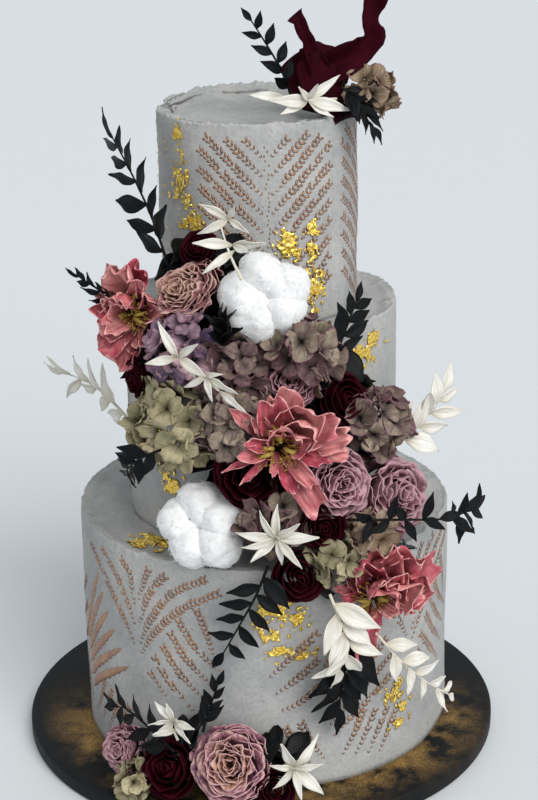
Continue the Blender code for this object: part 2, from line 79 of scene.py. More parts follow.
# Azimuth, distance, height and radius as in the solids (the sage head's florets reach past its radius,
# so that is less here); tilt lifts the face, turn turns it aside.
Head = namedtuple("Head", "kind azimuth distance height radius tilt turn finish")
HEADS = {
    "peony_left": Head("laid", -53, 88, 258, 28, 5, 18, "coral"),
    "rose_dusty": Head("garden", -27, 84, 276, 19, 25, -10, "rosewood"),
    "rose_burgundy_high": Head("velvet", -26, 70, 294, 11, 30, 0, "burgundy"),
    "cotton_high": Head("cotton", 2, 82, 273, 23, 20, 0, "cotton"),
    "hydrangea_plum": Head("hydrangea", -24, 96, 247, 17, 15, -10, "plum"),
    "hydrangea_dusk": Head("hydrangea", -9, 92, 238, 18, 10, 0, "heather"),
    "hydrangea_heather": Head("hydrangea", 13, 95, 246, 17, 25, 10, "heather"),
    "hydrangea_sage": Head("hydrangea", -27, 98, 208, 22, 10, -10, "sage"),
    "rose_burgundy_left": Head("velvet", -44, 92, 226, 12, 0, -15, "burgundy"),
    "hydrangea_moss": Head("hydrangea", -10, 100, 212, 17, 10, 0, "umber"),
    "rose_small": Head("garden", 8, 98, 232, 15, 35, 0, "mauve"),
    "peony_centre": Head("laid", 6, 117, 208, 28, 12, 0, "coral"),
    "rose_burgundy_heart": Head("velvet", -3, 104, 186, 20, 5, 0, "burgundy"),
    "rose_burgundy_right": Head("velvet", 27, 92, 218, 15, 15, 10, "burgundy"),
    "hydrangea_right": Head("hydrangea", 38, 93, 202, 18, 15, 10, "heather"),
    "rose_mauve_inner": Head("garden", 20, 114, 180, 19, 15, 5, "mauve"),
    "rose_mauve_outer": Head("garden", 40, 107, 163, 24, 22, 5, "mauve"),
    "hydrangea_low": Head("hydrangea", 2, 110, 164, 16, 10, 0, "heather"),
    "cotton_low": Head("cotton", -18, 100, 153, 23, 20, 0, "cotton"),
    "rose_burgundy_low": Head("velvet", 15, 118, 160, 13, 10, 0, "burgundy"),
    "rose_burgundy_edge": Head("velvet", 9, 117, 133, 15, 5, 0, "burgundy"),
    "hydrangea_edge": Head("hydrangea", 18, 120, 143, 12, 10, 0, "sage"),
    "hydrangea_blush": Head("hydrangea", 27, 120, 151, 13, 10, 0, "dusk"),
    "peony_right": Head("laid", 29, 124, 126, 25, 5, -14, "coral"),
    "rose_foot": Head("garden", -9, 124, 26, 22, 30, 0, "blush"),
    "rose_burgundy_foot": Head("velvet", -25, 124, 18, 17, 30, 0, "burgundy"),
    "rose_mauve_foot": Head("garden", -41, 121, 18, 14, 20, 0, "mauve"),
    "hydrangea_foot": Head("hydrangea", -33, 132, 10, 10, 20, 0, "sage"),
    "rose_burgundy_toe": Head("velvet", 2, 128, 14, 11, 20, 0, "burgundy"),
    "rose_topper": Head("laid", 66, 39, 371, 19, 25, -45, "crimson"),
    "hydrangea_topper": Head("hydrangea", 72, 63, 366, 12, 20, 0, "dusk"),
}

# Leaf length, number of leaves, degrees between leaf and stem, whether they stand all round it,
# and the route of the stem as azimuth, distance and height, all as in the solids.
Sprig = namedtuple("Sprig", "finish leaf leaves splay ringed route")
SPRIGS = {
    "ruscus_black_tall": Sprig(
        "black", 23, 12, 55, False, [(-42, 70, 280), (-50, 72, 306), (-60, 76, 329), (-69, 81, 346)]
    ),
    "ruscus_black_wing": Sprig("black", 12, 7, 40, False, [(-54, 92, 264), (-58, 100, 271), (-62, 107, 277)]),
    "ruscus_white_high": Sprig("bleached", 20, 8, 52, False, [(-5, 100, 288), (-9, 96, 302), (-13, 88, 316)]),
    "ruscus_black_spike": Sprig("black", 17, 8, 32, True, [(-10, 104, 254), (-10, 108, 260), (-10, 109, 267)]),
    "ruscus_white_left": Sprig("bleached", 25, 9, 66, True, [(-18, 108, 238), (-17, 118, 244), (-16, 124, 248)]),
    "ruscus_black_mid": Sprig("black", 17, 9, 40, False, [(22, 98, 240), (27, 95, 255), (33, 91, 269)]),
    "ruscus_white_right": Sprig(
        "bleached", 24, 9, 45, False, [(42, 100, 186), (50, 104, 193), (56, 108, 202), (59, 111, 211)]
    ),
    "ruscus_black_right": Sprig(
        "black", 16, 10, 48, False, [(19, 132, 168), (29, 138, 166), (45, 137, 156), (59, 132, 150)]
    ),
    "ruscus_black_left": Sprig(
        "black", 15, 8, 48, False, [(-24, 126, 204), (-29, 125, 198), (-34, 121, 190), (-39, 114, 182)]
    ),
    "ruscus_white_star": Sprig("bleached", 21, 9, 70, True, [(2, 120, 152), (2, 129, 158), (2, 135, 161)]),
    "ruscus_black_hang": Sprig(
        "black", 18, 10, 65, False, [(1, 120, 141), (-2, 121, 125), (-6, 119, 108), (-11, 115, 88)]
    ),
    "ruscus_white_hang": Sprig(
        "bleached", 24, 9, 42, False, [(14, 138, 131), (16, 141, 116), (18, 139, 100), (17, 132, 84)]
    ),
    "ruscus_white_trail": Sprig(
        "bleached", 18, 10, 42, False, [(26, 132, 101), (33, 132, 80), (43, 128, 58), (55, 124, 38)]
    ),
    "ruscus_black_drop": Sprig("black", 26, 9, 38, False, [(21, 122, 96), (20, 122, 78), (19, 119, 54)]),
    "ruscus_black_foot": Sprig(
        "black", 17, 9, 48, False, [(-22, 132, 34), (-29, 128, 42), (-38, 123, 46), (-44, 120, 42)]
    ),
    "ruscus_black_toe": Sprig("black", 12, 8, 32, False, [(-16, 124, 44), (-15, 119, 54), (-13, 115, 68)]),
    "ruscus_white_foot": Sprig("bleached", 18, 9, 60, True, [(-21, 132, 42), (-22, 134, 50), (-24, 134, 56)]),
    "ruscus_white_toe": Sprig("bleached", 22, 8, 50, True, [(4, 128, 28), (7, 131, 32), (9, 134, 38)]),
    "ruscus_black_top": Sprig(
        "black", 13, 9, 45, False, [(40, 28, 366), (32, 26, 378), (16, 21, 392), (-6, 18, 404)]
    ),
    "ruscus_black_crown": Sprig("black", 17, 9, 35, False, [(54, 54, 372), (56, 62, 365), (58, 70, 352)]),
    "ruscus_white_top": Sprig("bleached", 22, 8, 55, False, [(50, 54, 366), (32, 50, 367), (8, 44, 369)]),
    "ruscus_white_far": Sprig(
        "bleached", 22, 9, 44, False, [(-66, 80, 190), (-80, 86, 196), (-88, 97, 202), (-92, 112, 206)]
    ),
}

# --- materials -----------------------------------------------------------------------------------


def colour(code):
    """A hex sRGB colour as the linear colour that a shader takes."""
    parts = [int(code[i : i + 2], 16) / 255 for i in (1, 3, 5)]
    return (*[c / 12.92 if c <= 0.04045 else ((c + 0.055) / 1.055) ** 2.4 for c in parts], 1.0)


def add(tree, kind, values=None, links=None, stops=None, **settings):
    """Adds a node with its settings, the values and links of its sockets, and a ramp's stops."""
    node = tree.nodes.new("ShaderNode" + kind)
    for key, value in settings.items():
        setattr(node, key, value)
    for socket, value in (values or {}).items():
        node.inputs[socket].default_value = value
    for socket, source in (links or {}).items():
        tree.links.new(source, node.inputs[socket])
    for k, (position, code) in enumerate(stops or []):
        if k > 1:
            node.color_ramp.elements.new(position)
        node.color_ramp.elements[k].position = position
        node.color_ramp.elements[k].color = colour(code)
    return node


def finish(name, **sockets):
    """A new material's node tree and shader, with the shader's even values set on its own sockets."""
    material = bpy.data.materials.new(name)
    material.use_nodes = True
    tree = material.node_tree
    shader = tree.nodes["Principled BSDF"]
    for socket, value in sockets.items():
        shader.inputs[socket.replace("_", " ").title().replace("Ior", "IOR")].default_value = value
    return material, tree, shader


def per(size):
    """The scale of a pattern whose features are this many millimetres across."""
    return 1 / (size * MM)


def mixed(tree, factor, first, second, blend="MIX"):
    """The colour between two colours or sockets."""
    values = {}
    links = {"Factor": factor} if not isinstance(factor, float) else {}
    if isinstance(factor, float):
        values[0] = factor
    node = add(tree, "Mix", data_type="RGBA", blend_type=blend, values=values)
    if links:
        tree.links.new(factor, node.inputs[0])
    for socket, source in ((6, first), (7, second)):
        if isinstance(source, str):
            node.inputs[socket].default_value = colour(source)
        else:
            tree.links.new(source, node.inputs[socket])
    return node.outputs[2]


def icing_finish():
    """Grey buttercream spread with a metal scraper: matt, a little mottled, with fine pits darkened by painted shade,
    and drag lines.
    """
    material, tree, shader = finish("grey_buttercream", roughness=0.72, specular_ior_level=0.35)
    place_on = add(tree, "TexCoord").outputs["Object"]
    clouds = add(tree, "TexNoise", values={"Scale": per(38), "Detail": 3.0, "Roughness": 0.6}, links={0: place_on})
    crumb = add(tree, "TexNoise", values={"Scale": per(2.2), "Detail": 4.0, "Roughness": 0.7}, links={0: place_on})
    drag = add(tree, "Mapping", values={"Scale": (1, 1, 6)}, links={0: place_on})
    lines = add(
        tree, "TexNoise", values={"Scale": per(16), "Detail": 6.0, "Roughness": 0.75, "Distortion": 0.6},
        links={0: drag.outputs[0]},
    )
    pits = add(tree, "TexVoronoi", values={"Scale": per(7), "Randomness": 1.0}, links={0: place_on})
    pit = add(tree, "ValToRGB", links={0: pits.outputs["Distance"]}, stops=[(0.04, "#000000"), (0.13, "#ffffff")])
    tone = add(tree, "ValToRGB", links={0: clouds.outputs[0]}, stops=[(0.3, "#9a9b9b"), (0.7, "#b5b4b0")])
    worn = add(tree, "ValToRGB", links={0: crumb.outputs[0]}, stops=[(0.35, "#bdbdbd"), (0.6, "#ffffff")])
    darker = mixed(tree, 0.35, tone.outputs[0], worn.outputs[0], "MULTIPLY")
    # Painted shade: the colour is darkened in the pits.
    tree.links.new(mixed(tree, 0.25, darker, pit.outputs[0], "MULTIPLY"), shader.inputs["Base Color"])
    rough = add(tree, "MapRange", values={3: 0.6, 4: 0.85}, links={0: crumb.outputs[0]})
    tree.links.new(rough.outputs[0], shader.inputs["Roughness"])
    low = add(tree, "Bump", values={"Strength": 0.5, "Distance": 0.5 * MM}, links={"Height": lines.outputs[0]})
    fine = add(
        tree, "Bump", values={"Strength": 0.5, "Distance": 0.25 * MM},
        links={"Height": crumb.outputs[0], "Normal": low.outputs[0]},
    )
    last = add(
        tree, "Bump", values={"Strength": 0.4, "Distance": 0.4 * MM},
        links={"Height": pit.outputs[0], "Normal": fine.outputs[0]},
    )
    tree.links.new(last.outputs[0], shader.inputs["Normal"])
    return material


def board_finish():
    """Charcoal-stained board, satin, dusted with ochre gold where the icing was dusted over it."""
    material, tree, shader = finish("charcoal_board", roughness=0.6, specular_ior_level=0.2)
    place_on = add(tree, "TexCoord").outputs["Object"]
    smears = add(tree, "TexNoise", values={"Scale": per(24), "Detail": 5.0, "Roughness": 0.65}, links={0: place_on})
    grains = add(tree, "TexNoise", values={"Scale": per(0.9), "Detail": 2.0}, links={0: place_on})
    stain = add(tree, "ValToRGB", links={0: smears.outputs[0]}, stops=[(0.3, "#08090a"), (0.75, "#17191a")])
    # The dust lies round the foot of the cake, and thins towards the rim.
    from_axis = add(tree, "Mapping", values={"Location": (-CAKE_AXIS, 0, 0)}, links={0: place_on})
    flat = add(tree, "VectorMath", operation="MULTIPLY", values={1: (1, 1, 0)}, links={0: from_axis.outputs[0]})
    reach = add(tree, "VectorMath", operation="LENGTH", links={0: flat.outputs[0]})
    near = add(tree, "MapRange", values={1: 104 * MM, 2: 136 * MM, 3: 1.0, 4: 0.0}, links={0: reach.outputs["Value"]})
    split = add(tree, "SeparateXYZ", links={0: place_on})
    front = add(tree, "MapRange", values={1: 0.03, 2: -0.05, 3: 0.0, 4: 1.0}, links={0: split.outputs["Y"]})
    sides = add(tree, "MapRange", values={1: 0.4, 2: 0.62, 3: 0.0, 4: 1.0}, links={0: smears.outputs[0]})
    dusted = add(tree, "Math", operation="MULTIPLY", links={0: near.outputs[0], 1: front.outputs[0]})
    thick = add(tree, "Math", operation="MULTIPLY", links={0: dusted.outputs[0], 1: sides.outputs[0]})
    speck = add(tree, "MapRange", values={1: 0.25, 2: 0.75, 3: 0.2, 4: 2.4}, links={0: grains.outputs[0]})
    amount = add(
        tree, "Math", operation="MULTIPLY", use_clamp=True, links={0: thick.outputs[0], 1: speck.outputs[0]}
    )
    gold = mixed(tree, grains.outputs[0], "#6b5230", "#a8854a")
    tree.links.new(mixed(tree, amount.outputs[0], stain.outputs[0], gold), shader.inputs["Base Color"])
    rough = add(tree, "MapRange", values={3: 0.5, 4: 0.75}, links={0: smears.outputs[0]})
    tree.links.new(rough.outputs[0], shader.inputs["Roughness"])
    bump = add(tree, "Bump", values={"Strength": 0.25, "Distance": 0.2 * MM}, links={"Height": grains.outputs[0]})
    tree.links.new(bump.outputs[0], shader.inputs["Normal"])
    return material


def plant_finish(name, painted_foot_shade, body, other, rim, roughness=0.6, veins=0.4, sheen=0.0, rim_from=0.86, mottle=5.0, gloss=0.25, foot_shade_to=0.5, lines=15):
    """A dried petal or leaf: its two body colours vary from one to the next, its foot is darkened as painted shade,
    its rim is paler (partly its own dried colour, partly a painted edge highlight), veins run along it, and it is
    mottled where it dried unevenly."""
    material, tree, shader = finish(name, roughness=roughness, sheen_weight=sheen, sheen_roughness=0.5)
    shader.inputs["Specular IOR Level"].default_value = gloss
    uv = add(tree, "UVMap", uv_map="UVMap").outputs[0]
    place_on = add(tree, "TexCoord").outputs["Object"]
    tint = add(tree, "Attribute", attribute_name="tint").outputs["Fac"]
    split = add(tree, "SeparateXYZ", links={0: uv})
    spots = add(tree, "TexNoise", values={"Scale": per(mottle), "Detail": 4.0, "Roughness": 0.6}, links={0: place_on})
    along = add(tree, "Mapping", values={"Scale": (lines, 1.5, 1)}, links={0: uv})
    vein = add(
        tree, "TexNoise", noise_dimensions="4D", values={"Scale": 1.0, "Detail": 3.0, "Roughness": 0.6, "Distortion": 0.5},
        links={"Vector": along.outputs[0]},
    )
    seed = add(tree, "Math", operation="MULTIPLY", values={1: 40.0}, links={0: tint})
    tree.links.new(seed.outputs[0], vein.inputs["W"])
    part = add(tree, "MapRange", values={1: 0.3, 2: 0.7, 3: -0.35, 4: 0.35}, links={0: spots.outputs[0]})
    share = add(tree, "Math", operation="ADD", use_clamp=True, links={0: tint, 1: part.outputs[0]})
    skin = mixed(tree, share.outputs[0], body, other)
    # Painted shade: the foot of each petal or leaf is mixed towards a darker colour, as if shaded by the petals
    # crowding round it.
    foot = add(tree, "MapRange", values={1: 0.05, 2: foot_shade_to, 3: 1.0, 4: 0.0}, links={0: split.outputs["Y"]})
    foot_shaded = mixed(tree, foot.outputs[0], skin, painted_foot_shade)
    streak = add(
        tree, "ValToRGB", links={0: vein.outputs[0]},
        stops=[(0.34, "#6a6a6a"), (0.6, "#ffffff")],
    )
    veined = mixed(tree, float(veins), foot_shaded, streak.outputs[0], "MULTIPLY")
    # The pale rim is partly the dried rim's own colour and partly a painted edge highlight.
    aside = add(tree, "MapRange", values={1: 0.0, 2: 1.0, 3: -1.0, 4: 1.0}, links={0: split.outputs["X"]})
    reach = add(tree, "Math", operation="ABSOLUTE", links={0: aside.outputs[0]})
    edge = add(tree, "Math", operation="MAXIMUM", links={0: reach.outputs[0], 1: split.outputs["Y"]})
    frayed = add(tree, "Math", operation="MULTIPLY_ADD", values={1: 0.22}, links={0: part.outputs[0], 2: edge.outputs[0]})
    rim_and_highlight = add(tree, "MapRange", values={1: rim_from, 2: 1.0, 3: 0.0, 4: 1.0}, links={0: frayed.outputs[0]})
    tree.links.new(mixed(tree, rim_and_highlight.outputs[0], veined, rim), shader.inputs["Base Color"])
    rib = add(tree, "Bump", values={"Strength": 0.8, "Distance": 0.5 * MM}, links={"Height": vein.outputs[0]})
    skin_bump = add(
        tree, "Bump", values={"Strength": 0.3, "Distance": 0.3 * MM},
        links={"Height": spots.outputs[0], "Normal": rib.outputs[0]},
    )
    tree.links.new(skin_bump.outputs[0], shader.inputs["Normal"])
    return material


def gold_finish():
    """Genuine gold leaf: a mirror-bright skin that crinkles into small facets; its colour carries painted ochre shade
    and pale painted highlights over a creased pattern.
    """
    material, tree, shader = finish("gold_leaf", metallic=0.8, roughness=0.3)
    place_on = add(tree, "TexCoord").outputs["Object"]
    facets = add(tree, "TexVoronoi", values={"Scale": per(2.2), "Randomness": 1.0}, links={0: place_on})
    crease = add(tree, "TexNoise", values={"Scale": per(1.4), "Detail": 4.0, "Roughness": 0.7}, links={0: place_on})
    # Painted shade and highlight: the crease pattern runs from ochre shade through gold to pale yellow highlights.
    tone = add(
        tree, "ValToRGB", links={0: crease.outputs[0]},
        stops=[(0.3, "#b4861f"), (0.47, "#f5c945"), (0.64, "#fff0a0")],
    )
    tree.links.new(tone.outputs[0], shader.inputs["Base Color"])
    rough = add(tree, "MapRange", values={3: 0.18, 4: 0.45}, links={0: crease.outputs[0]})
    tree.links.new(rough.outputs[0], shader.inputs["Roughness"])
    bump = add(tree, "Bump", values={"Strength": 0.7, "Distance": 0.5 * MM}, links={"Height": facets.outputs[0]})
    tree.links.new(bump.outputs[0], shader.inputs["Normal"])
    return material


def dust_finish():
    """Rose-gold lustre dust dabbed through a stencil: dull mauve-brown where thin, coppery where it lies thick, with
    pale gold specks that are painted glints.
    """
    material, tree, shader = finish("rose_gold_dust", metallic=0.25, roughness=0.5)
    place_on = add(tree, "TexCoord").outputs["Object"]
    cover = add(tree, "TexNoise", values={"Scale": per(14), "Detail": 3.0}, links={0: place_on})
    glint = add(tree, "TexNoise", values={"Scale": per(0.8), "Detail": 1.0}, links={0: place_on})
    tone = add(
        tree, "ValToRGB", links={0: cover.outputs[0]},
        stops=[(0.32, "#87706a"), (0.5, "#99725f"), (0.68, "#ac8062")],
    )
    # Painted glints: pale gold specks mixed into the colour where the fine noise is high.
    bright = add(tree, "MapRange", values={1: 0.56, 2: 0.68, 3: 0.0, 4: 0.7}, links={0: glint.outputs[0]})
    tree.links.new(mixed(tree, bright.outputs[0], tone.outputs[0], "#ddb27a"), shader.inputs["Base Color"])
    bump = add(tree, "Bump", values={"Strength": 0.4, "Distance": 0.2 * MM}, links={"Height": glint.outputs[0]})
    tree.links.new(bump.outputs[0], shader.inputs["Normal"])
    return material


def cotton_finish():
    """Raw cotton lint: a loose white floss that has no gloss."""
    material, tree, shader = finish("cotton_lint", roughness=1.0, sheen_weight=0.4, sheen_roughness=0.6)
    place_on = add(tree, "TexCoord").outputs["Object"]
    floss = add(tree, "TexNoise", values={"Scale": per(2.5), "Detail": 4.0, "Roughness": 0.6}, links={0: place_on})
    tone = add(tree, "ValToRGB", links={0: floss.outputs[0]}, stops=[(0.3, "#d9d8d6"), (0.6, "#e6e6e6")])
    tree.links.new(tone.outputs[0], shader.inputs["Base Color"])
    bump = add(tree, "Bump", values={"Strength": 0.2, "Distance": 0.4 * MM}, links={"Height": floss.outputs[0]})
    tree.links.new(bump.outputs[0], shader.inputs["Normal"])
    return material


FINISHES = {
    "icing": icing_finish(),
    "board": board_finish(),
    "gold": gold_finish(),
    "dust": dust_finish(),
    "cotton": cotton_finish(),
    # Dried peony petals: coral, thin and glossy-smooth, with painted shade deepening the foot and a pale crinkled rim,
    # partly bleached and partly painted highlight.
    "coral": plant_finish(
        "dried_peony_petal", "#6c1626", "#bf5062", "#e09692", "#e2a6a2", 0.5, 0.6, 0.0, 0.98, foot_shade_to=0.65, lines=7
    ),
    # Dried garden rose petals: papery, their folded rims almost beige, partly their own dried colour and partly painted
    # highlight.
    "rosewood": plant_finish(
        "dried_rosewood_petal", "#4f2a2e", "#a56a70", "#c29a80", "#d2aca0", 0.65, 0.6, 0.0, 0.92, foot_shade_to=0.8
    ),
    "blush": plant_finish(
        "dried_blush_petal", "#4d2730", "#9a6679", "#cb9d80", "#cba3a0", 0.65, 0.6, 0.0, 0.92, foot_shade_to=0.8
    ),
    "mauve": plant_finish(
        "dried_mauve_petal", "#4a2834", "#8f5c68", "#b08690", "#b9929b", 0.65, 0.6, 0.0, 0.9, foot_shade_to=0.8
    ),
    # Preserved burgundy roses: velvety, and nearly black where they turn from the light.
    "burgundy": plant_finish(
        "velvet_rose_petal", "#120108", "#2c020c", "#3c0515", "#300713", 0.7, 0.3, 0.0, 0.95, gloss=0.06
    ),
    # The topper's petals: one deep crimson, leathery and almost without sheen.
    "crimson": plant_finish(
        "crimson_topper_petal", "#1e0209", "#2f0310", "#3c0818", "#24070f", 0.75, 0.35, 0.0, 0.9, gloss=0.05
    ),
    # Dried hydrangea bracts: papery, strongly veined, olive to beige with brownish rims, or mauve.
    "sage": plant_finish("dried_sage_bract", "#544e34", "#8c8667", "#beb491", "#97886f", 0.7, 0.4, 0.0, 0.92),
    "umber": plant_finish("dried_umber_bract", "#2c2622", "#6e5c5a", "#a89a84", "#7a5f62", 0.7, 0.5, 0.0, 0.9),
    "heather": plant_finish("dried_heather_bract", "#2b2223", "#66494f", "#a39580", "#6e4a54", 0.7, 0.6, 0.0, 0.9),
    "plum": plant_finish("dried_plum_bract", "#2e2030", "#584668", "#c49fa6", "#75566a", 0.7, 0.6, 0.0, 0.9),
    "dusk": plant_finish("dried_beige_bract", "#57452f", "#907a62", "#b7a388", "#8a6c66", 0.7, 0.6, 0.0, 0.9),
    # Preserved ruscus dyed black: leathery with a soft cold sheen.
    "black": plant_finish(
        "black_ruscus_leaf", "#050607", "#08090b", "#0e1012", "#121417", 0.45, 0.3, 0.0, 0.9, gloss=0.14
    ),
    # Bleached ruscus: papery cream with fine lines along each leaf.
    "bleached": plant_finish("bleached_ruscus_leaf", "#cfc6b2", "#e4dfd3", "#efece4", "#e6e0d2", 0.6, 0.35, 0.0, 0.9),
    # Dry stalks, seed heads and anthers.
    "stalk": plant_finish("dry_stalk", "#4a4030", "#5f5238", "#4f4634", "#6a5c40", 0.8, 0.5),
    "anther": plant_finish("peony_anther", "#4f3513", "#96702a", "#c09a48", "#b08a3c", 0.7, 0.3),
    "carpel": plant_finish("peony_carpel", "#6b4f1c", "#a5893c", "#c9b05c", "#cdb666", 0.6, 0.4),
    "bract": plant_finish("cotton_bract", "#2e2119", "#45332a", "#5a4435", "#3a2a20", 0.8, 0.4),
}

# --- shaping ---------------------------------------------------------------------------------------

# Some of a piece's surface: points, faces, each point's place on the surface, and the tint and finish of all of it.
Part = namedtuple("Part", "points faces uv tint finish")
BLANKS = {}


def blank(columns, rows):
    """A flat square to shape: across from -1 to 1 and along from 0 to 1 at each point, and its faces."""
    if (columns, rows) not in BLANKS:
        bpy.ops.mesh.primitive_grid_add(x_subdivisions=columns, y_subdivisions=rows, size=2)
        grid = bpy.context.object
        points = np.empty(3 * len(grid.data.vertices))
        grid.data.vertices.foreach_get("co", points)
        points = points.reshape(-1, 3)
        faces = np.array([tuple(face.vertices) for face in grid.data.polygons])
        BLANKS[columns, rows] = (points[:, 0], (points[:, 1] + 1) / 2, faces)
        bpy.data.objects.remove(grid)
    return BLANKS[columns, rows]


def ripple(points, size, chance, waves=7):
    """Unrepeating waves of about one size through space, from about -1 to 1."""
    total = np.zeros(len(points))
    for _ in range(waves):
        way = Vector([chance.gauss(0, 1) for _ in range(3)]).normalized()
        total += np.sin(points @ np.array(way) * 2 * math.pi / size * chance.uniform(0.7, 1.4) + chance.uniform(0, 7))
    return total / math.sqrt(waves)


def moved(parts, matrix, tint=None):
    """Copies of parts, placed by a matrix."""
    turned = np.array(matrix.to_3x3())
    at = np.array(matrix.translation)
    return [
        p._replace(points=p.points @ turned.T + at, tint=p.tint if tint is None else tint) for p in parts
    ]


def strands(points, radii, sides=5, tint=0.5, look="stalk"):
    """A tapering round strand through points, closed at both ends."""
    rings = []
    across = None
    for k, point in enumerate(points):
        along = (points[min(k + 1, len(points) - 1)] - points[max(k - 1, 0)]).normalized()
        across = along.orthogonal() if across is None else across - along * across.dot(along)
        across.normalize()
        third = along.cross(across)
        for i in range(sides):
            turn = 2 * math.pi * i / sides
            rings.append(point + radii[k] * (across * math.cos(turn) + third * math.sin(turn)))
    count = len(points)
    rings += [points[0], points[-1]]
    faces = []
    for k in range(count - 1):
        for i in range(sides):
            j = (i + 1) % sides
            faces.append((k * sides + i, k * sides + j, (k + 1) * sides + j, (k + 1) * sides + i))
    first, last = count * sides, count * sides + 1
    for i in range(sides):
        j = (i + 1) % sides
        faces.append((first, j, i))
        faces.append((last, (count - 1) * sides + i, (count - 1) * sides + j))
    uv = np.array([(0.5, k / (count - 1)) for k in range(count) for _ in range(sides)] + [(0.5, 0), (0.5, 1)])
    return Part(np.array(rings), faces, uv, tint, look)


def mesh_of(name, parts):
    """One object from parts, with their finishes, their places on the surface and their tints."""
    looks = list(dict.fromkeys(p.finish for p in parts))
    starts = np.cumsum([0] + [len(p.points) for p in parts])
    faces = []
    slots = []
    for part, start in zip(parts, starts):
        faces += [[int(i) + int(start) for i in face] for face in part.faces]
        slots += [looks.index(part.finish)] * len(part.faces)
    mesh = bpy.data.meshes.new(name)
    mesh.from_pydata(np.concatenate([p.points for p in parts]).tolist(), [], faces)
    uv = np.concatenate([p.uv for p in parts])
    corners = np.empty(len(mesh.loops), dtype=np.int32)
    mesh.loops.foreach_get("vertex_index", corners)
    mesh.uv_layers.new(name="UVMap").data.foreach_set("uv", uv[corners].ravel())
    tints = np.concatenate([np.full(len(p.points), p.tint) for p in parts])
    mesh.attributes.new("tint", "FLOAT", "POINT").data.foreach_set("value", tints.astype(np.float32))
    for look in looks:
        mesh.materials.append(FINISHES[look])
    mesh.polygons.foreach_set("material_index", slots)
    mesh.polygons.foreach_set("use_smooth", [looks[slot] != "tuft" for slot in slots])
    obj = bpy.data.objects.new(name, mesh)
    bpy.context.scene.collection.objects.link(obj)
    return obj


def select_only(obj, others=()):
    bpy.ops.object.select_all(action="DESELECT")
    for other in (obj, *others):
        other.select_set(True)
    bpy.context.view_layer.objects.active = obj


def apply_modifier(obj, kind, **settings):
    modifier = obj.modifiers.new(kind.lower(), kind)
    for key, value in settings.items():
        setattr(modifier, key, value)
    select_only(obj)
    bpy.ops.object.modifier_apply(modifier=modifier.name)


def piece(name, sheets=(), solids=(), thickness=0.4 * MM, replaces=None):
    """A finished piece of the cake: thin sheets are given their thickness, then solids are joined to them."""
    made = []
    if sheets:
        skin = mesh_of(name, sheets)
        apply_modifier(skin, "SOLIDIFY", thickness=thickness, offset=0)
        made.append(skin)
    if solids:
        made.append(mesh_of(name if not made else name + "_solids", solids))
    if len(made) > 1:
        select_only(made[0], made[1:])
        bpy.ops.object.join()
    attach(made[0], "root")
    if replaces:
        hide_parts(replaces)
    return made[0]


# --- icing -------------------------------------------------------------------------------------------


def wall_reach(node, azimuth, height):
    """How far out an iced wall stands: a scraper leaves it almost true, with faint hollows."""
    size = TIERS[node]
    points = np.stack([np.sin(azimuth) * size.radius, -np.cos(azimuth) * size.radius, height], axis=1)
    chance = random.Random(node)
    even = size.radius - 0.3 * MM + 0.35 * MM * ripple(points, 55 * MM, chance)
    # The left of the top tier was trowelled on roughly, where the gold leaf lies.
    left = np.exp(-(((np.degrees(azimuth) + 74 + 180) % 360 - 180) / 20.0) ** 2) * (node == "tier_top")
    return even + (0.08 + 0.22 * left) * MM * ripple(points, 9 * MM, chance)


def on_wall(node, azimuth, height, proud):
    """Points on an iced wall, from azimuths in radians and heights in metres over the board."""
    reach = wall_reach(node, azimuth, height) + proud
    return np.stack(
        [CAKE_AXIS + reach * np.sin(azimuth), -reach * np.cos(azimuth), BOARD_TOP + height], axis=1
    )


# Rolls of icing that the scraper left on the top tier's lip, besides the crumbs: azimuth at both ends,
# millimetres in from the wall and over the rim, and thickness.
ROLLS = [(-150, -96, 7.0, 1.0, 1.7), (-128, -88, 3.6, 2.2, 1.3), (-104, -82, 9.0, -0.6, 1.2), (172, 205, 9.0, 1.2, 1.5)]


def icing_scraps(size):
    """Rolls and thin crumbs of icing, left lying along a scraped lip."""
    chance = random.Random("icing scraps")
    rolls = list(ROLLS)
    for _ in range(46):
        start = chance.uniform(-80, 78)
        rolls.append((start, start + chance.uniform(2, 9), chance.uniform(1.5, 6.5), 0.1 - chance.random(), 0.55))
    parts = []
    for start, end, inset, rise, thick in rolls:
        line = []
        for k in range(7):
            turn = math.radians(start + (end - start) * k / 6)
            reach = size.radius - (inset + chance.gauss(0, 0.35)) * MM
            height = BOARD_TOP + size.rim + (rise + chance.gauss(0, 0.25)) * MM
            line.append(Vector((CAKE_AXIS + reach * math.sin(turn), -reach * math.cos(turn), height)))
        radii = [thick * MM * math.sin(math.pi * (k + 0.6) / 7.2) * chance.uniform(0.7, 1.2) for k in range(7)]
        parts.append(strands(line, radii, 6, 0.5, "icing"))
    return parts


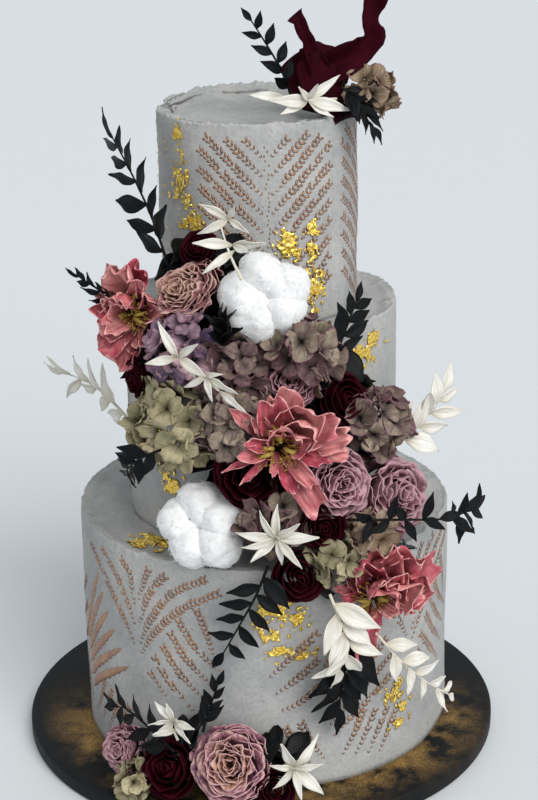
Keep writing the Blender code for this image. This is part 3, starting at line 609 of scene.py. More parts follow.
def iced_tier(node):
    """The wall, the torn lip that the scraper left round the top, and the spread top inside it."""
    size = TIERS[node]
    dish = DISH[node]
    columns = 420
    inner = 0.0 if node == "tier_top" else size.radius - 36 * MM
    wall_rows = np.linspace(size.foot, size.rim - 7 * MM, 34)
    lip_rows = np.linspace(size.rim - 6 * MM, size.rim - 0.5 * MM, 9)
    top_rows = np.linspace(0, 1, 30)
    rows = len(wall_rows) + len(lip_rows) + len(top_rows) + 3
    u, v, faces = blank(columns, rows - 1)
    azimuth = math.pi * u
    row = np.rint(v * (rows - 1)).astype(int)
    around = np.stack([np.sin(azimuth), -np.cos(azimuth), np.zeros(len(u))], axis=1)
    chance = random.Random("lip of " + node)
    big = ripple(around * size.radius, 46 * MM, chance)
    mid = ripple(around * size.radius, 13 * MM, chance)
    torn = ripple(around * size.radius, 4.2 * MM, chance)
    fine = ripple(around * size.radius, 2.1 * MM, chance)
    scrap = np.clip(mid * 0.8 + torn * 0.6, 0, None)
    crest = size.rim + (0.5 * big + 0.8 * scrap + 0.25 * fine) * MM
    lean = (0.3 * big - 0.9 * scrap + 0.35 * torn) * MM
    # On the top tier a thick ridge is swept up along the back.
    ridge = np.zeros(len(u))
    if node == "tier_top":
        ridge = np.exp(-(((np.degrees(azimuth) + 172 + 180) % 360 - 180) / 36.0) ** 2)
    height = np.zeros(len(u))
    reach = np.zeros(len(u))
    first_lip = len(wall_rows)
    first_crest = first_lip + len(lip_rows)
    first_top = first_crest + 3
    for k in range(rows):
        here = row == k
        if k < first_lip:
            height[here] = wall_rows[k]
            reach[here] = wall_reach(node, azimuth[here], height[here])
        elif k < first_crest:
            share = (k - first_lip) / (len(lip_rows) - 1)
            height[here] = lip_rows[k - first_lip] + share**2 * (crest[here] - size.rim)
            reach[here] = wall_reach(node, azimuth[here], height[here]) + share**2 * lean[here]
        elif k < first_top:
            inward = (0.5, 1.3, 2.4)[k - first_crest] * MM
            drop = (-0.25, 0.0, 0.5)[k - first_crest] * MM
            height[here] = crest[here] - drop
            reach[here] = wall_reach(node, azimuth[here], height[here]) + lean[here] - inward
        else:
            share = top_rows[k - first_top]
            outer = size.radius + lean[here] - 3.4 * MM
            reach[here] = outer + (inner - outer) * share
            near_lip = np.exp(-((share * 30) ** 2) / 12)
            level = size.rim - dish + 0.5 * MM
            height[here] = level + (crest[here] - level) * near_lip * 0.7
    top = row >= first_top
    spread = np.stack([reach * np.sin(azimuth), -reach * np.cos(azimuth), np.zeros(len(u))], axis=1)
    sweep = random.Random("sweep of " + node)
    depth = np.clip((size.radius - reach) / (6 * MM), 0, 1)
    fade = np.clip(reach / (18 * MM), 0, 1)
    arcs = np.sin(reach / (3.1 * MM) + 2.2 * np.sin(azimuth * 1.0 + 0.6) + 1.4 * ripple(spread, 60 * MM, sweep))
    height += top * depth * fade * (0.35 * MM * arcs + 0.5 * MM * ripple(spread, 34 * MM, sweep))
    if node == "tier_top":
        shelf = np.clip((reach - 0.55 * size.radius) / (0.4 * size.radius), 0, 1) ** 1.5
        rough = 0.6 * ripple(spread, 9 * MM, sweep) + 0.4 * ripple(spread, 4 * MM, sweep)
        height += np.where(row >= first_crest, ridge * shelf * (4.2 + rough) * MM, 0)
        height += np.where((row < first_crest) & (row >= first_lip), ridge * 4.2 * MM * ((row - first_lip) / 8.0), 0)
    points = np.stack(
        [CAKE_AXIS + reach * np.sin(azimuth), -reach * np.cos(azimuth), BOARD_TOP + height], axis=1
    )
    uv = np.stack([(u + 1) / 2, v], axis=1)
    parts = [Part(points, faces, uv, 0.5, "icing")]
    if node == "tier_top":
        parts += icing_scraps(size)
    obj = mesh_of(node.replace("tier", "iced"), parts)
    select_only(obj)
    bpy.ops.object.mode_set(mode="EDIT")
    bpy.ops.mesh.select_all(action="SELECT")
    bpy.ops.mesh.remove_doubles(threshold=0.02 * MM)
    bpy.ops.mesh.select_all(action="DESELECT")
    bpy.ops.mesh.select_non_manifold(extend=False)
    bpy.ops.mesh.edge_face_add()
    bpy.ops.mesh.select_all(action="SELECT")
    bpy.ops.mesh.normals_make_consistent(inside=False)
    bpy.ops.object.mode_set(mode="OBJECT")
    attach(obj, "root")
    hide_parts(node)
    return BVHTree.FromPolygons([v.co for v in obj.data.vertices], [list(f.vertices) for f in obj.data.polygons])


def round_board():
    bpy.ops.mesh.primitive_cylinder_add(
        vertices=160, radius=BOARD_RADIUS, depth=BOARD_TOP, location=(0, 0, BOARD_TOP / 2)
    )
    obj = bpy.context.object
    obj.name = "round_board"
    bpy.ops.object.transform_apply()
    bpy.ops.object.mode_set(mode="EDIT")
    bpy.ops.mesh.select_all(action="SELECT")
    bpy.ops.mesh.select_mode(type="FACE")
    mesh = bmesh.from_edit_mesh(obj.data)
    for face in mesh.faces:
        face.select = abs(face.normal.z) > 0.9
    bmesh.update_edit_mesh(obj.data)
    bpy.ops.mesh.region_to_loop()
    bpy.ops.mesh.bevel(offset=2.5 * MM, segments=4, profile=0.6)
    bpy.ops.object.mode_set(mode="OBJECT")
    select_only(obj)
    bpy.ops.object.shade_smooth_by_angle(angle=math.radians(40))
    obj.data.materials.append(FINISHES["board"])
    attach(obj, "root")
    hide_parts("cake_board")


# --- lustre dust through a stencil, and gold leaf --------------------------------------------------

# Fronds as (azimuth in degrees, height in millimetres) stations from root to tip. Each set is one
# repeat of the pattern; the tier carries it a number of times round.
FAN_AXIS = 5
QUARTERS = (0, 90, 180, 270)  # degrees by which each pattern is turned round its tier


def fan_fronds():
    """The top tier's pattern: fronds that rise like a fan to both sides of a dotted line."""
    fronds = []
    for height in range(238, 356, 10):
        for side in (-1, 1):
            fronds.append([
                (FAN_AXIS + side * 0.4, height), (FAN_AXIS + side * 16, height + 15), (FAN_AXIS + side * 29, height + 27),
                (FAN_AXIS + side * (40 - 0.04 * abs(height - 300)), height + 35),
            ])
    return fronds


def arch_fronds():
    """The bottom tier's pattern: a narrow fan, arches beside it, straight rows under those, and low fans."""
    fronds = [
        [(-41, 69), (-35, 86), (-25, 105), (-13, 118)],
        [(-41, 75), (-37, 91), (-28, 113), (-16, 126)],
        [(-41, 87), (-37, 106), (-32, 119), (-27, 127)],
        [(-41, 101), (-38, 116), (-35, 127)],
        [(-15, 78), (-17, 92), (-20, 106)],
        [(-30, 48), (-33, 54), (-37, 62)],
    ]
    for k in range(3):
        fronds.append([(-42, 73 + 12 * k), (-47 + 2 * k, 89 + 10 * k), (-56 + 6 * k, 108 + 5 * k), (-66 + 9 * k, 121 + 2 * k)])
    for k in range(4):
        fronds.append([(-12 - 3 * k, 70 - 9 * k), (-21 - 3 * k, 84 - 8 * k), (-26 - 3 * k, 98 - 9 * k)])
    for k in range(3):
        fronds.append([(-90 + 1.5 * k, 67 - 10 * k), (-82 + k, 81 - 14 * k), (-75, 92 - 16 * k)])
    for side in (-1, 1):
        for k in range(4):
            start, end = -70 + side * (2 + 4.5 * k), -70 + side * (10 + 4.5 * k)
            fronds.append([(start, 14 - 2 * k), ((start + end) / 2, 25 - k), (end, 40 - 2 * k)])
    return fronds


def swept_rows():
    """The rows left of each fan, which rise to it ever less steeply."""
    return [
        [(-76 + k, 62 - 7 * k), (-71 + k, 76 - 8 * k), (-66 + 2 * k, 91 - 8.5 * k), (-61 + 3 * k, 107 - 9.5 * k)]
        for k in range(6)
    ]


def wavy_bands(node, rows, turns):
    """Rows in which the dust ran together into bands, and by how many degrees each set of them is turned."""
    size = TIERS[node]
    chance = random.Random("bands")
    parts = []
    for turned in turns:
        for k, stations in enumerate(rows):
            steps = np.array(along_frond(node, stations, 0.5))
            u, v, faces = blank(3, 40)
            across, height, way = (
                np.interp(v * (len(steps) - 1), range(len(steps)), steps[:, i]) for i in range(3)
            )
            ends = np.clip(v * 8, 0, 1) * np.clip((1 - v) * 2.5, 0, 1) ** 0.5
            half = 0.05 + 2.4 * ends * (1 + 0.2 * np.sin(v * 52 + 2 * k))
            around = (across - np.sin(way) * u * half) * MM / size.radius + math.radians(turned)
            height = (height + np.cos(way) * u * half) * MM
            proud = 0.12 + 0.14 * (1 - u**2) + 0.03 * ripple(np.stack([u, v * 20, 0 * u], axis=1), 0.9, chance)
            points = on_wall(node, around, height, proud * MM)
            parts.append(Part(points, faces, np.stack([(u + 1) / 2, v], axis=1), chance.random(), "dust"))
    return parts


def along_frond(node, stations, pitch):
    """Even steps along a frond, as (distance round the wall, height, direction), in millimetres."""
    radius = TIERS[node].radius / MM
    points = [Vector((radius * math.radians(a), h)) for a, h in stations]
    line = []
    for k in range(201):
        at = k / 200 * (len(points) - 1)
        i = min(int(at), len(points) - 2)
        t = at - i
        before = points[i - 1] if i else 2 * points[0] - points[1]
        after = points[i + 2] if i + 2 < len(points) else 2 * points[-1] - points[-2]
        a, b, c, d = before, points[i], points[i + 1], after
        line.append(0.5 * (2 * b + (c - a) * t + (2 * a - 5 * b + 4 * c - d) * t**2 + (3 * b - a - 3 * c + d) * t**3))
    steps = []
    gone = 0.0
    for here, there in zip(line, line[1:]):
        gone += (there - here).length
        if gone >= pitch:
            gone -= pitch
            steps.append((there.x, there.y, math.atan2(there.y - here.y, there.x - here.x)))
    return steps


def stencil_dab():
    """A low six-sided mound, pointed at both ends, two units long and wide."""
    bpy.ops.mesh.primitive_circle_add(vertices=6, radius=1, fill_type="TRIFAN")
    dab = bpy.context.object
    bpy.ops.object.mode_set(mode="EDIT")
    bpy.ops.mesh.select_all(action="DESELECT")
    bpy.ops.mesh.select_non_manifold(extend=False)
    bpy.ops.transform.rotate(value=math.pi / 2, orient_axis="Z", center_override=(0, 0, 0))
    bpy.ops.transform.translate(value=(0, 0, -0.6))
    bpy.ops.mesh.edge_face_add()
    bpy.ops.mesh.select_all(action="SELECT")
    bpy.ops.transform.translate(value=(0, 0, 1.0))
    bpy.ops.mesh.normals_make_consistent(inside=False)
    bpy.ops.object.mode_set(mode="OBJECT")
    shape = np.array([v.co for v in dab.data.vertices])
    faces = [tuple(f.vertices) for f in dab.data.polygons]
    bpy.data.objects.remove(dab)
    return shape, faces


def stencil_dots(node):
    """The dotted line that each fan of the top tier's pattern rises from."""
    size = TIERS[node]
    chance = random.Random("dots")
    shape, faces = stencil_dab()
    parts = []
    for turned in QUARTERS:
        for k in range(38):
            height = (size.foot / MM + 8 + 2.4 * k + shape[:, 0] * 0.8) * MM
            aside = FAN_AXIS + turned + chance.uniform(-1.6, 1.6)
            around = math.radians(aside) + shape[:, 1] * 0.4 * MM / size.radius
            points = on_wall(node, around, height, shape[:, 2] * 0.2 * MM)
            parts.append(Part(points, faces, np.full((len(points), 2), 0.5), chance.random(), "dust"))
    return parts


def stencil_marks(node, fronds, turns, pitch, length, bare=()):
    """Pairs of leaf-shaped dabs of lustre dust along every frond, raised a little from the wall. The set of
    fronds is turned by each of the degrees, and stops at the bare parts of the wall."""
    size = TIERS[node]
    chance = random.Random("stencil of " + node)
    shape, faces = stencil_dab()
    shape = shape * (0.5 * length, 0.22 * length, 0.22)
    wear = random.Random("wear of " + node)
    parts = []
    for turned in turns:
        for stations in fronds:
            for step, (x, y, turn) in enumerate(along_frond(node, stations, pitch)):
                azimuth = math.degrees(x / size.radius * MM) + turned
                low, high = size.foot / MM + 5, size.rim / MM - 6 - chance.uniform(0, 3)
                if not low < y < high or any(a0 < azimuth < a1 and h0 < y < h1 for a0, a1, h0, h1 in bare):
                    continue
                for side in (-1, 1):
                    if chance.random() < 0.04:
                        continue
                    lean = turn + side * math.radians(36 + chance.uniform(-6, 6))
                    scale = chance.uniform(0.85, 1.1) * min(1.0, 0.45 + 0.11 * step)
                    c, s = math.cos(lean) * scale, math.sin(lean) * scale
                    out = 0.62 * length * scale
                    at = (x + out * math.cos(lean) * 0.9, y + out * math.sin(lean) * 0.9)
                    across = (at[0] + shape[:, 0] * c - shape[:, 1] * s) * MM
                    height = (at[1] + shape[:, 0] * s + shape[:, 1] * c) * MM
                    around = across / size.radius + math.radians(turned)
                    points = on_wall(node, around, height, shape[:, 2] * MM)
                    parts.append(Part(points, faces, np.full((len(points), 2), 0.5), wear.random(), "dust"))
    return parts


# Gold leaf: azimuth, height over the board, width, height, and how whole the leaf still is.
GOLD = {
    "tier_top": [
        (-50, 350, 7, 10, 0.6), (-47, 338, 3, 8, 0.3), (-49, 326, 9, 16, 0.5), (-52, 318, 7, 7, 0.3),
        (-43, 327, 3, 9, 0.1), (-43, 314, 5, 10, 0.4), (-38, 303, 10, 15, 0.7), (-45, 302, 4, 6, 0.1),
        (16, 292, 15, 18, 0.7), (31, 300, 5, 11, 0.6), (31, 287, 8, 14, 0.5), (27, 277, 6, 5, 0.3),
        (31, 268, 17, 19, 0.6), (32, 255, 7, 6, 0.3), (22, 277, 6, 5, 0.4),
    ],
    "tier_middle": [
        (44, 233, 24, 17, 0.6), (38, 224, 15, 12, 0.6), (52, 239, 12, 10, 0.5), (36, 213, 6, 6, 0.2),
        (-43, 170, 13, 13, 0.8), (-45, 181, 8, 12, 0.6), (-41, 161, 13, 9, 0.8), (-48, 190, 8, 11, 0.5),
    ],
    "tier_bottom": [
        (3, 108, 22, 14, 0.45), (9, 103, 10, 15, 0.5), (1, 94, 16, 9, 0.3), (5, 84, 20, 8, 0.3), (12, 81, 8, 5, 0.2),
        (-2, 101, 9, 7, 0.2), (43, 45, 12, 14, 0.5), (46, 33, 9, 10, 0.4), (44, 24, 10, 6, 0.2), (39, 42, 5, 8, 0.2),
        (49, 58, 6, 7, 0.1),
    ],
}
# Gold leaf on the ledge of the bottom tier: place across and back from the cake's axis, and width.
GOLD_ON_LEDGE = [
    (-68, 43, 26, 0.6), (-66, 20, 22, 0.6), (-63, -60, 24, 0.8), (-54, -66, 12, 0.6), (-69, -68, 9, 0.5),
    (-57, -74, 8, 0.4), (84, -40, 12, 0.6),
]


def gold_flake(chance, width, height, whole, cells):
    """A ragged, crinkled scrap of gold leaf in millimetres, and the faces that are left of it."""
    u, v, faces = blank(cells, cells)
    v = v * 2 - 1
    flat = np.stack([u * width / 2, v * height / 2, np.zeros(len(u))], axis=1)
    torn = ripple(flat, 7.5, chance, 6) * 0.30 + ripple(flat, 2.6, chance, 6) * 0.26
    kept = 1 - np.sqrt(u**2 + v**2) + torn - (0.36 - 0.36 * whole)
    crease = np.abs(ripple(flat, 5.0, chance, 5)) * 0.55 + np.abs(ripple(flat, 1.9, chance, 5)) * 0.34
    flat[:, 2] = 0.35 + crease
    faces = faces[(kept[faces] > 0).all(axis=1)]
    used, faces_new = np.unique(faces, return_inverse=True)
    return flat[used], faces_new.reshape(-1, 4), np.stack([(u + 1) / 2, (v + 1) / 2], axis=1)[used]


def gold_parts():
    chance = random.Random("gold")
    parts = []

    def lay(node, azimuth, height, width, tall, whole, cells):
        flat, faces, uv = gold_flake(chance, width, tall, whole, cells)
        if len(faces):
            around = math.radians(azimuth) + flat[:, 0] * MM / TIERS[node].radius
            points = on_wall(node, around, (height + flat[:, 1]) * MM, flat[:, 2] * MM)
            parts.append(Part(points, faces, uv, chance.random(), "gold"))

    for node, patches in GOLD.items():
        for azimuth, height, width, tall, whole in patches:
            lay(node, azimuth, height, width, tall, whole, 26)
            radius = TIERS[node].radius / MM
            for _ in range(7):
                aside = math.degrees(chance.gauss(0, 0.55) * width / radius)
                size = chance.uniform(1.0, 2.8)
                lay(node, azimuth + aside, height + chance.gauss(0, 0.5) * tall, size, size * 1.3, 0.8, 6)
    for _ in range(110):
        size = chance.uniform(0.7, 1.6)
        lay("tier_top", chance.uniform(-84, -48), chance.uniform(252, 350), size, size, 0.9, 4)
    for across, back, width, whole in GOLD_ON_LEDGE:
        flat, faces, uv = gold_flake(chance, width, width * 0.8, whole, 30)
        points = flat * MM + (CAKE_AXIS + across * MM, back * MM, BOARD_TOP + 200 * MM)
        for k, point in enumerate(points):
            hit = ICED["tier_bottom"].ray_cast(Vector(point), -UP)[0]
            points[k, 2] = (hit.z if hit else BOARD_TOP + TIERS["tier_bottom"].rim) + flat[k, 2] * MM
        if len(faces):
            parts.append(Part(points, faces, uv, chance.random(), "gold"))
    return parts


# --- ruscus ------------------------------------------------------------------------------------------

HEAD_NODES = BVHTree.FromPolygons(
    [v.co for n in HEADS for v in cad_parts[n].data.vertices],
    [
        [i + start for i in face.vertices]
        for n, start in zip(HEADS, np.cumsum([0] + [len(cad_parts[m].data.vertices) for m in HEADS]).tolist())
        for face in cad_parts[n].data.polygons
    ],
)


def is_inside_head(point):
    found, normal, _, _ = HEAD_NODES.find_nearest(point, 30 * MM)
    return found is not None and (point - found).dot(normal) < 0


def outward(point):
    return Vector((point.x - CAKE_AXIS, point.y, 0)).normalized()


def smooth_route(stations, steps):
    """Points of an even curve through the stations, as (point, direction)."""
    points = [place(*station) for station in stations]
    ends = [2 * points[0] - points[1], *points, 2 * points[-1] - points[-2]]
    route = []
    spans = len(points) - 1
    for k in range(steps + 1):
        at = k / steps * spans
        i = min(int(at), spans - 1)
        t = at - i
        a, b, c, d = ends[i : i + 4]
        point = 0.5 * (
            2 * b + (c - a) * t + (2 * a - 5 * b + 4 * c - d) * t**2 + (3 * b - a - 3 * c + d) * t**3
        )
        slope = (c - a) + 2 * (2 * a - 5 * b + 4 * c - d) * t + 3 * (3 * b - a - 3 * c + d) * t**2
        route.append((point, slope.normalized()))
    return route


def leaf_frames(name):
    """Where the leaves of a sprig stand, as in the solids: (foot, direction, face, length)."""
    sprig = SPRIGS[name]
    chance = random.Random(name)
    frames = []
    route = smooth_route(sprig.route, 4 * sprig.leaves)
    for share, right, above, turn, lean, length in SPRAYS.get(name, ()):
        out = outward(route[round(share * 4 * sprig.leaves)][0])
        across = UP.cross(out)
        foot = route[round(share * 4 * sprig.leaves)][0] + (across * right + UP * above) * MM
        turn, lean = math.radians(turn), math.radians(lean)
        direction = (across * math.cos(turn) + UP * math.sin(turn)) * math.cos(lean) + out * math.sin(lean)
        face = out + across * chance.uniform(-0.5, 0.5) + UP * chance.uniform(-0.3, 0.5)
        frames.append((foot, direction, (face - direction * face.dot(direction)).normalized(), length * MM))
    if frames:
        return frames
    for k in range(sprig.leaves):
        share = 0.12 + 0.88 * k / (sprig.leaves - 1)
        point, along = route[round(share * 4 * sprig.leaves)]
        out = outward(point)
        across = along.cross(out).normalized()
        out = across.cross(along).normalized()
        if sprig.ringed:
            round_stem = math.radians(137.5) * k
            aside = across * math.cos(round_stem) + out * math.sin(round_stem)
        else:
            aside = across * (1 if k % 2 else -1) + out * chance.uniform(0.0, 0.35)
        splay = math.radians(sprig.splay + chance.uniform(-9, 9))
        if k == sprig.leaves - 1:
            splay = math.radians(6)
        direction = (along * math.cos(splay) + aside.normalized() * math.sin(splay)).normalized()
        face = (out if not sprig.ringed else along) + across * chance.uniform(-0.35, 0.35)
        face = (face - direction * face.dot(direction)).normalized()
        length = sprig.leaf * MM * (1 - 0.35 * share) * chance.uniform(0.88, 1.12)
        frames.append((point, direction, face, length))
    return frames


# Sprigs whose leaves curl each their own way: for each leaf the share of the stem, millimetres right of and
# above it, its turn (0 is right, 90 up), its lean from the wall and its length.
SPRAYS = {
    "ruscus_black_right": [
        (1.0, 0, 0, 62, 10, 12), (1.0, 0, 0, 8, 10, 13), (0.95, 0, 0, -38, 15, 13), (0.86, 0, 0, 30, 15, 13),
        (0.86, 0, 0, -62, 15, 14), (0.78, 0, 0, -96, 10, 14), (0.78, 0, 0, 78, 20, 12), (0.7, 0, 0, -48, 25, 14),
        (0.7, 0, 0, 108, 20, 11), (0.5, 0, 0, 70, 10, 14), (0.5, 0, 0, -28, 15, 14), (0.4, 0, 0, 128, 15, 13),
        (0.4, 0, 0, -70, 20, 12), (0.3, 0, 0, 82, 20, 13), (0.3, 0, 0, 196, 15, 13), (0.18, 0, 0, 150, 20, 13),
        (0.18, 0, 0, -130, 25, 12), (0.6, 0, 0, 14, 30, 12),
    ],
    "ruscus_white_high": [
        (1.0, 5, 0, 143, 10, 15), (1.0, 5, 0, 60, 20, 10), (1.0, 5, 0, -25, 15, 12), (1.0, 5, 0, 208, 25, 15),
        (0.6, 3, 0, 174, 15, 18), (0.6, 3, 0, 12, 20, 18), (0.6, 3, 0, -14, 35, 13), (0.5, 3, 0, 214, 25, 18),
    ],
    "ruscus_white_left": [
        (1.0, -7, 6, 117, 15, 17), (1.0, -7, 6, 37, 20, 15), (1.0, -7, 6, 194, 10, 15), (1.0, -7, 6, -24, 15, 18),
        (1.0, -7, 6, 76, 50, 10), (1.0, 7, -3, -18, 15, 18), (1.0, 7, -3, -65, 20, 12), (1.0, 7, -3, 215, 10, 12),
        (1.0, 14, -10, -32, 10, 16), (1.0, 7, -3, 30, 40, 10),
    ],
    "ruscus_white_star": [
        (1.0, 2, 2, 95, 15, 16), (1.0, 2, 2, 128, 20, 16), (1.0, 2, 2, 172, 10, 18), (1.0, 2, 2, 196, 25, 16),
        (1.0, 2, 2, 220, 15, 16), (1.0, 2, 2, -78, 10, 14), (1.0, 2, 2, -50, 15, 18), (1.0, 2, 2, 3, 15, 20),
        (1.0, 2, 2, 46, 25, 16), (1.0, 2, 2, 70, 55, 10),
    ],
    "ruscus_white_foot": [
        (1.0, 6, -2, 126, 15, 14), (1.0, 6, -2, 96, 20, 13), (1.0, 6, -2, 0, 15, 14), (1.0, 6, -2, 230, 10, 16),
        (1.0, 6, -2, 42, 30, 12), (1.0, 6, -2, -30, 20, 14), (1.0, 6, -2, 176, 20, 12), (0.6, 4, -2, 200, 10, 13),
    ],
    "ruscus_white_toe": [
        (1.0, -7, -8, 107, 15, 20), (1.0, -7, -8, 50, 15, 19), (1.0, -7, -8, -46, 10, 22), (1.0, -7, -8, 228, 15, 14),
        (1.0, -7, -8, 165, 20, 12), (1.0, -7, -8, 14, 35, 14), (1.0, -7, -8, -80, 25, 16), (0.5, -3, -4, 80, 30, 14),
    ],
    "ruscus_white_top": [
        (0.5, 0, 0, 173, 20, 22), (0.5, 0, 0, 34, 10, 19), (0.5, 0, 0, -16, 15, 21), (0.5, 0, 0, -44, 10, 14),
        (0.5, 0, 0, 194, 10, 18), (0.75, -2, 1, 172, 0, 18), (0.5, 0, 0, 140, 40, 12), (0.5, 0, 0, 80, 30, 11),
    ],
}


# Half the breadth of the leaves over their length; some bleached sprigs have broad leaves.
LEAF_BREADTHS = {"black": (0.16, 0.23), "bleached": (0.10, 0.15), "broad": (0.16, 0.22)}
BROAD_LEAVED = ("ruscus_white_right", "ruscus_white_far", "ruscus_white_hang", "ruscus_white_trail")


def ruscus_leaf(look, chance):
    """A leaf one unit long: pointed at both ends, folded along its midrib, with a bent tip and a wavy rim."""
    u, v, faces = blank(6, 10)
    broad = chance.uniform(*LEAF_BREADTHS[look])
    half = 0.012 + broad * np.sin(math.pi * v**0.82) ** 1.25
    bend = chance.uniform(-0.1, 0.22) if look == "black" else chance.uniform(-0.35, 0.5)
    twist = chance.uniform(-0.3, 0.3) if look == "black" else chance.uniform(-0.7, 0.7)
    fold = chance.uniform(0.2, 0.5)
    x = u * half
    z = fold * np.abs(u) * half - bend * v**2
    z += 0.02 * np.abs(u) ** 2 * np.sin(v * chance.uniform(9, 15) + chance.uniform(0, 6) + 2 * np.sign(u))
    turn = twist * v
    points = np.stack([x * np.cos(turn) - z * np.sin(turn), v, x * np.sin(turn) + z * np.cos(turn)], axis=1)
    look = "black" if look == "black" else "bleached"
    return Part(points, faces, np.stack([(u + 1) / 2, v], axis=1), 0.5, look)


def kept_off_icing(points, gap=0.6 * MM):
    """Pushes what would lie in the icing or the board out onto it."""
    points = points.copy()
    for size in TIERS.values():
        across = points[:, :2] - (CAKE_AXIS, 0)
        reach = np.linalg.norm(across, axis=1)
        height = points[:, 2] - BOARD_TOP
        buried = (height > size.foot - 2 * MM) & (height < size.rim + 1.5 * MM) & (reach < size.radius + gap)
        wall = np.minimum((size.radius + gap) / np.maximum(reach, 1e-6), 1.6)
        points[buried, :2] = (CAKE_AXIS, 0) + across[buried] * wall[buried, None]
    points[:, 2] = np.maximum(points[:, 2], BOARD_TOP + 0.6 * MM)
    return points


def ruscus_piece(name):
    sprig = SPRIGS[name]
    chance = random.Random("leaves of " + name)
    shapes = LEAVES["broad" if name in BROAD_LEAVED else sprig.finish]
    route = [point for point, _ in smooth_route(sprig.route, 24)]
    radii = [0.85 * MM * (1 - 0.55 * k / 24) for k in range(25)]
    sheets = []
    solids = [strands(route, radii, 6, 0.4, sprig.finish)]
    for foot, direction, face, length in leaf_frames(name):
        nearest = min(route, key=lambda point: (point - foot).length)
        if (nearest - foot).length > 1.5 * MM:
            solids.append(strands([nearest, (nearest + foot) / 2, foot], [0.6 * MM] * 3, 5, 0.4, sprig.finish))
        length *= 1.12
        for lift in (0.0, 0.35, 0.8, 1.5):
            raised = (direction + outward(foot) * lift).normalized()
            if not any(is_inside_head(foot + raised * length * share) for share in (0.5, 0.8, 1.0)):
                break
        face = (face - raised * face.dot(raised)).normalized()
        across = raised.cross(face)
        matrix = Matrix((across * length, raised * length, face * length)).transposed().to_4x4()
        matrix.translation = foot
        for part in moved([chance.choice(shapes)], matrix, chance.random()):
            sheets.append(part._replace(points=kept_off_icing(part.points)))
    piece(name.replace("ruscus", "sprig"), sheets, solids, 0.35 * MM, name)


LEAVES = {
    look: [ruscus_leaf(look, random.Random(f"{look} leaf {k}")) for k in range(7)] for look in LEAF_BREADTHS
}

# --- flowers -------------------------------------------------------------------------------------------


def facing(head):
    """The direction that a head looks in: out from the cake, turned aside and tilted up."""
    turn = math.radians(head.azimuth + head.turn)
    tilt = math.radians(head.tilt)
    return Vector((math.sin(turn) * math.cos(tilt), -math.cos(turn) * math.cos(tilt), math.sin(tilt)))


def head_matrix(head):
    """Takes a head modelled round +Z to its place and facing."""
    turned = facing(head).to_track_quat("Z", "Y").to_matrix().to_4x4()
    return Matrix.Translation(place(head.azimuth, head.distance, head.height)) @ turned


def petal(
    chance, look, turn, length, width, reach, rise, lean, curl=0.0, tip=0.0, cup=1.0, rounding=0.3,
    narrow=0.35, ruffle=0.0, pleat=0.0, ragged=0.03, point=0.0, crumple=0.0, cells=(8, 8), tint=None,
):
    """A petal in its flower's frame. It grows from reach out and rise up at an angle of lean from level, which
    changes by curl along it and by tip at its end; cup is the radius it is rolled to across its length."""
    u, v, faces = blank(*cells)
    wave = ripple(np.stack([u, v * 0, v * 0], axis=1), 0.9, chance, 4)
    along = np.clip(v * (1 - rounding * u * u * v) + ragged * wave * v**4, 0, 1.1)
    steps = np.linspace(0, 1.1, 45)
    angle = lean + curl * steps + tip * np.clip((steps - 0.6) / 0.4, 0, 1.2) ** 2
    step = length / 40
    out = reach + np.concatenate([[0], np.cumsum(np.cos(angle[:-1]) * step)])
    up = rise + np.concatenate([[0], np.cumsum(np.sin(angle[:-1]) * step)])
    at, high, slope = (np.interp(along, steps, values) for values in (out, up, angle))
    half = width / 2 * (narrow + (1 - narrow) * np.sin(np.clip(along / 0.75, 0, 1.25) * math.pi / 2))
    half = half * (1 - point * np.clip((along - 0.4) / 0.6, 0, 1) ** 1.6)
    x = u * half
    place_on = np.stack([x / width * 2, along * length / width, np.zeros(len(u))], axis=1)
    rim = np.maximum(np.abs(u) ** 3 * np.clip(v * 2, 0, 1), v**3)
    lift = ruffle * rim * ripple(place_on, 0.8, chance, 5) + 0.3 * ruffle * ripple(place_on, 0.7, chance, 5) * v
    lift += crumple * ripple(place_on, 0.55, chance, 6) * np.clip(v * 2, 0, 1)
    lift += pleat * np.sin(u * chance.uniform(9, 13) + chance.uniform(0, 6)) * np.clip(v * 1.6, 0, 1)
    lift += cup * (1 - np.cos(np.clip(x / cup, -2.8, 2.8)))
    x = cup * np.sin(np.clip(x / cup, -2.8, 2.8))
    at = at - np.sin(slope) * lift
    high = high + np.cos(slope) * lift
    c, s = math.cos(turn), math.sin(turn)
    points = np.stack([at * c - x * s, at * s + x * c, high], axis=1)
    uv = np.stack([(u + 1) / 2, v], axis=1)
    return Part(points, faces, uv, chance.random() if tint is None else tint, look)


def stalk(head, matrix, radius):
    """The stalk of a head, from its back into the icing, and its calyx."""
    back = matrix @ Vector((0, 0, -0.5 * radius))
    if head.height * MM > TIERS["tier_top"].rim:
        root = place(head.azimuth, min(head.distance, TIERS["tier_top"].radius / MM - 10), TIERS["tier_top"].rim / MM - 3)
    else:
        wall = max(size.radius for size in TIERS.values() if head.height * MM < size.rim)
        root = place(head.azimuth, wall / MM - 3, head.height)
    heart = matrix @ Vector((0, 0, -0.2 * radius))
    return strands([root, (root + back) / 2, back, heart], [1.6 * MM, 1.7 * MM, 0.22 * radius, 0.1 * radius], 8)


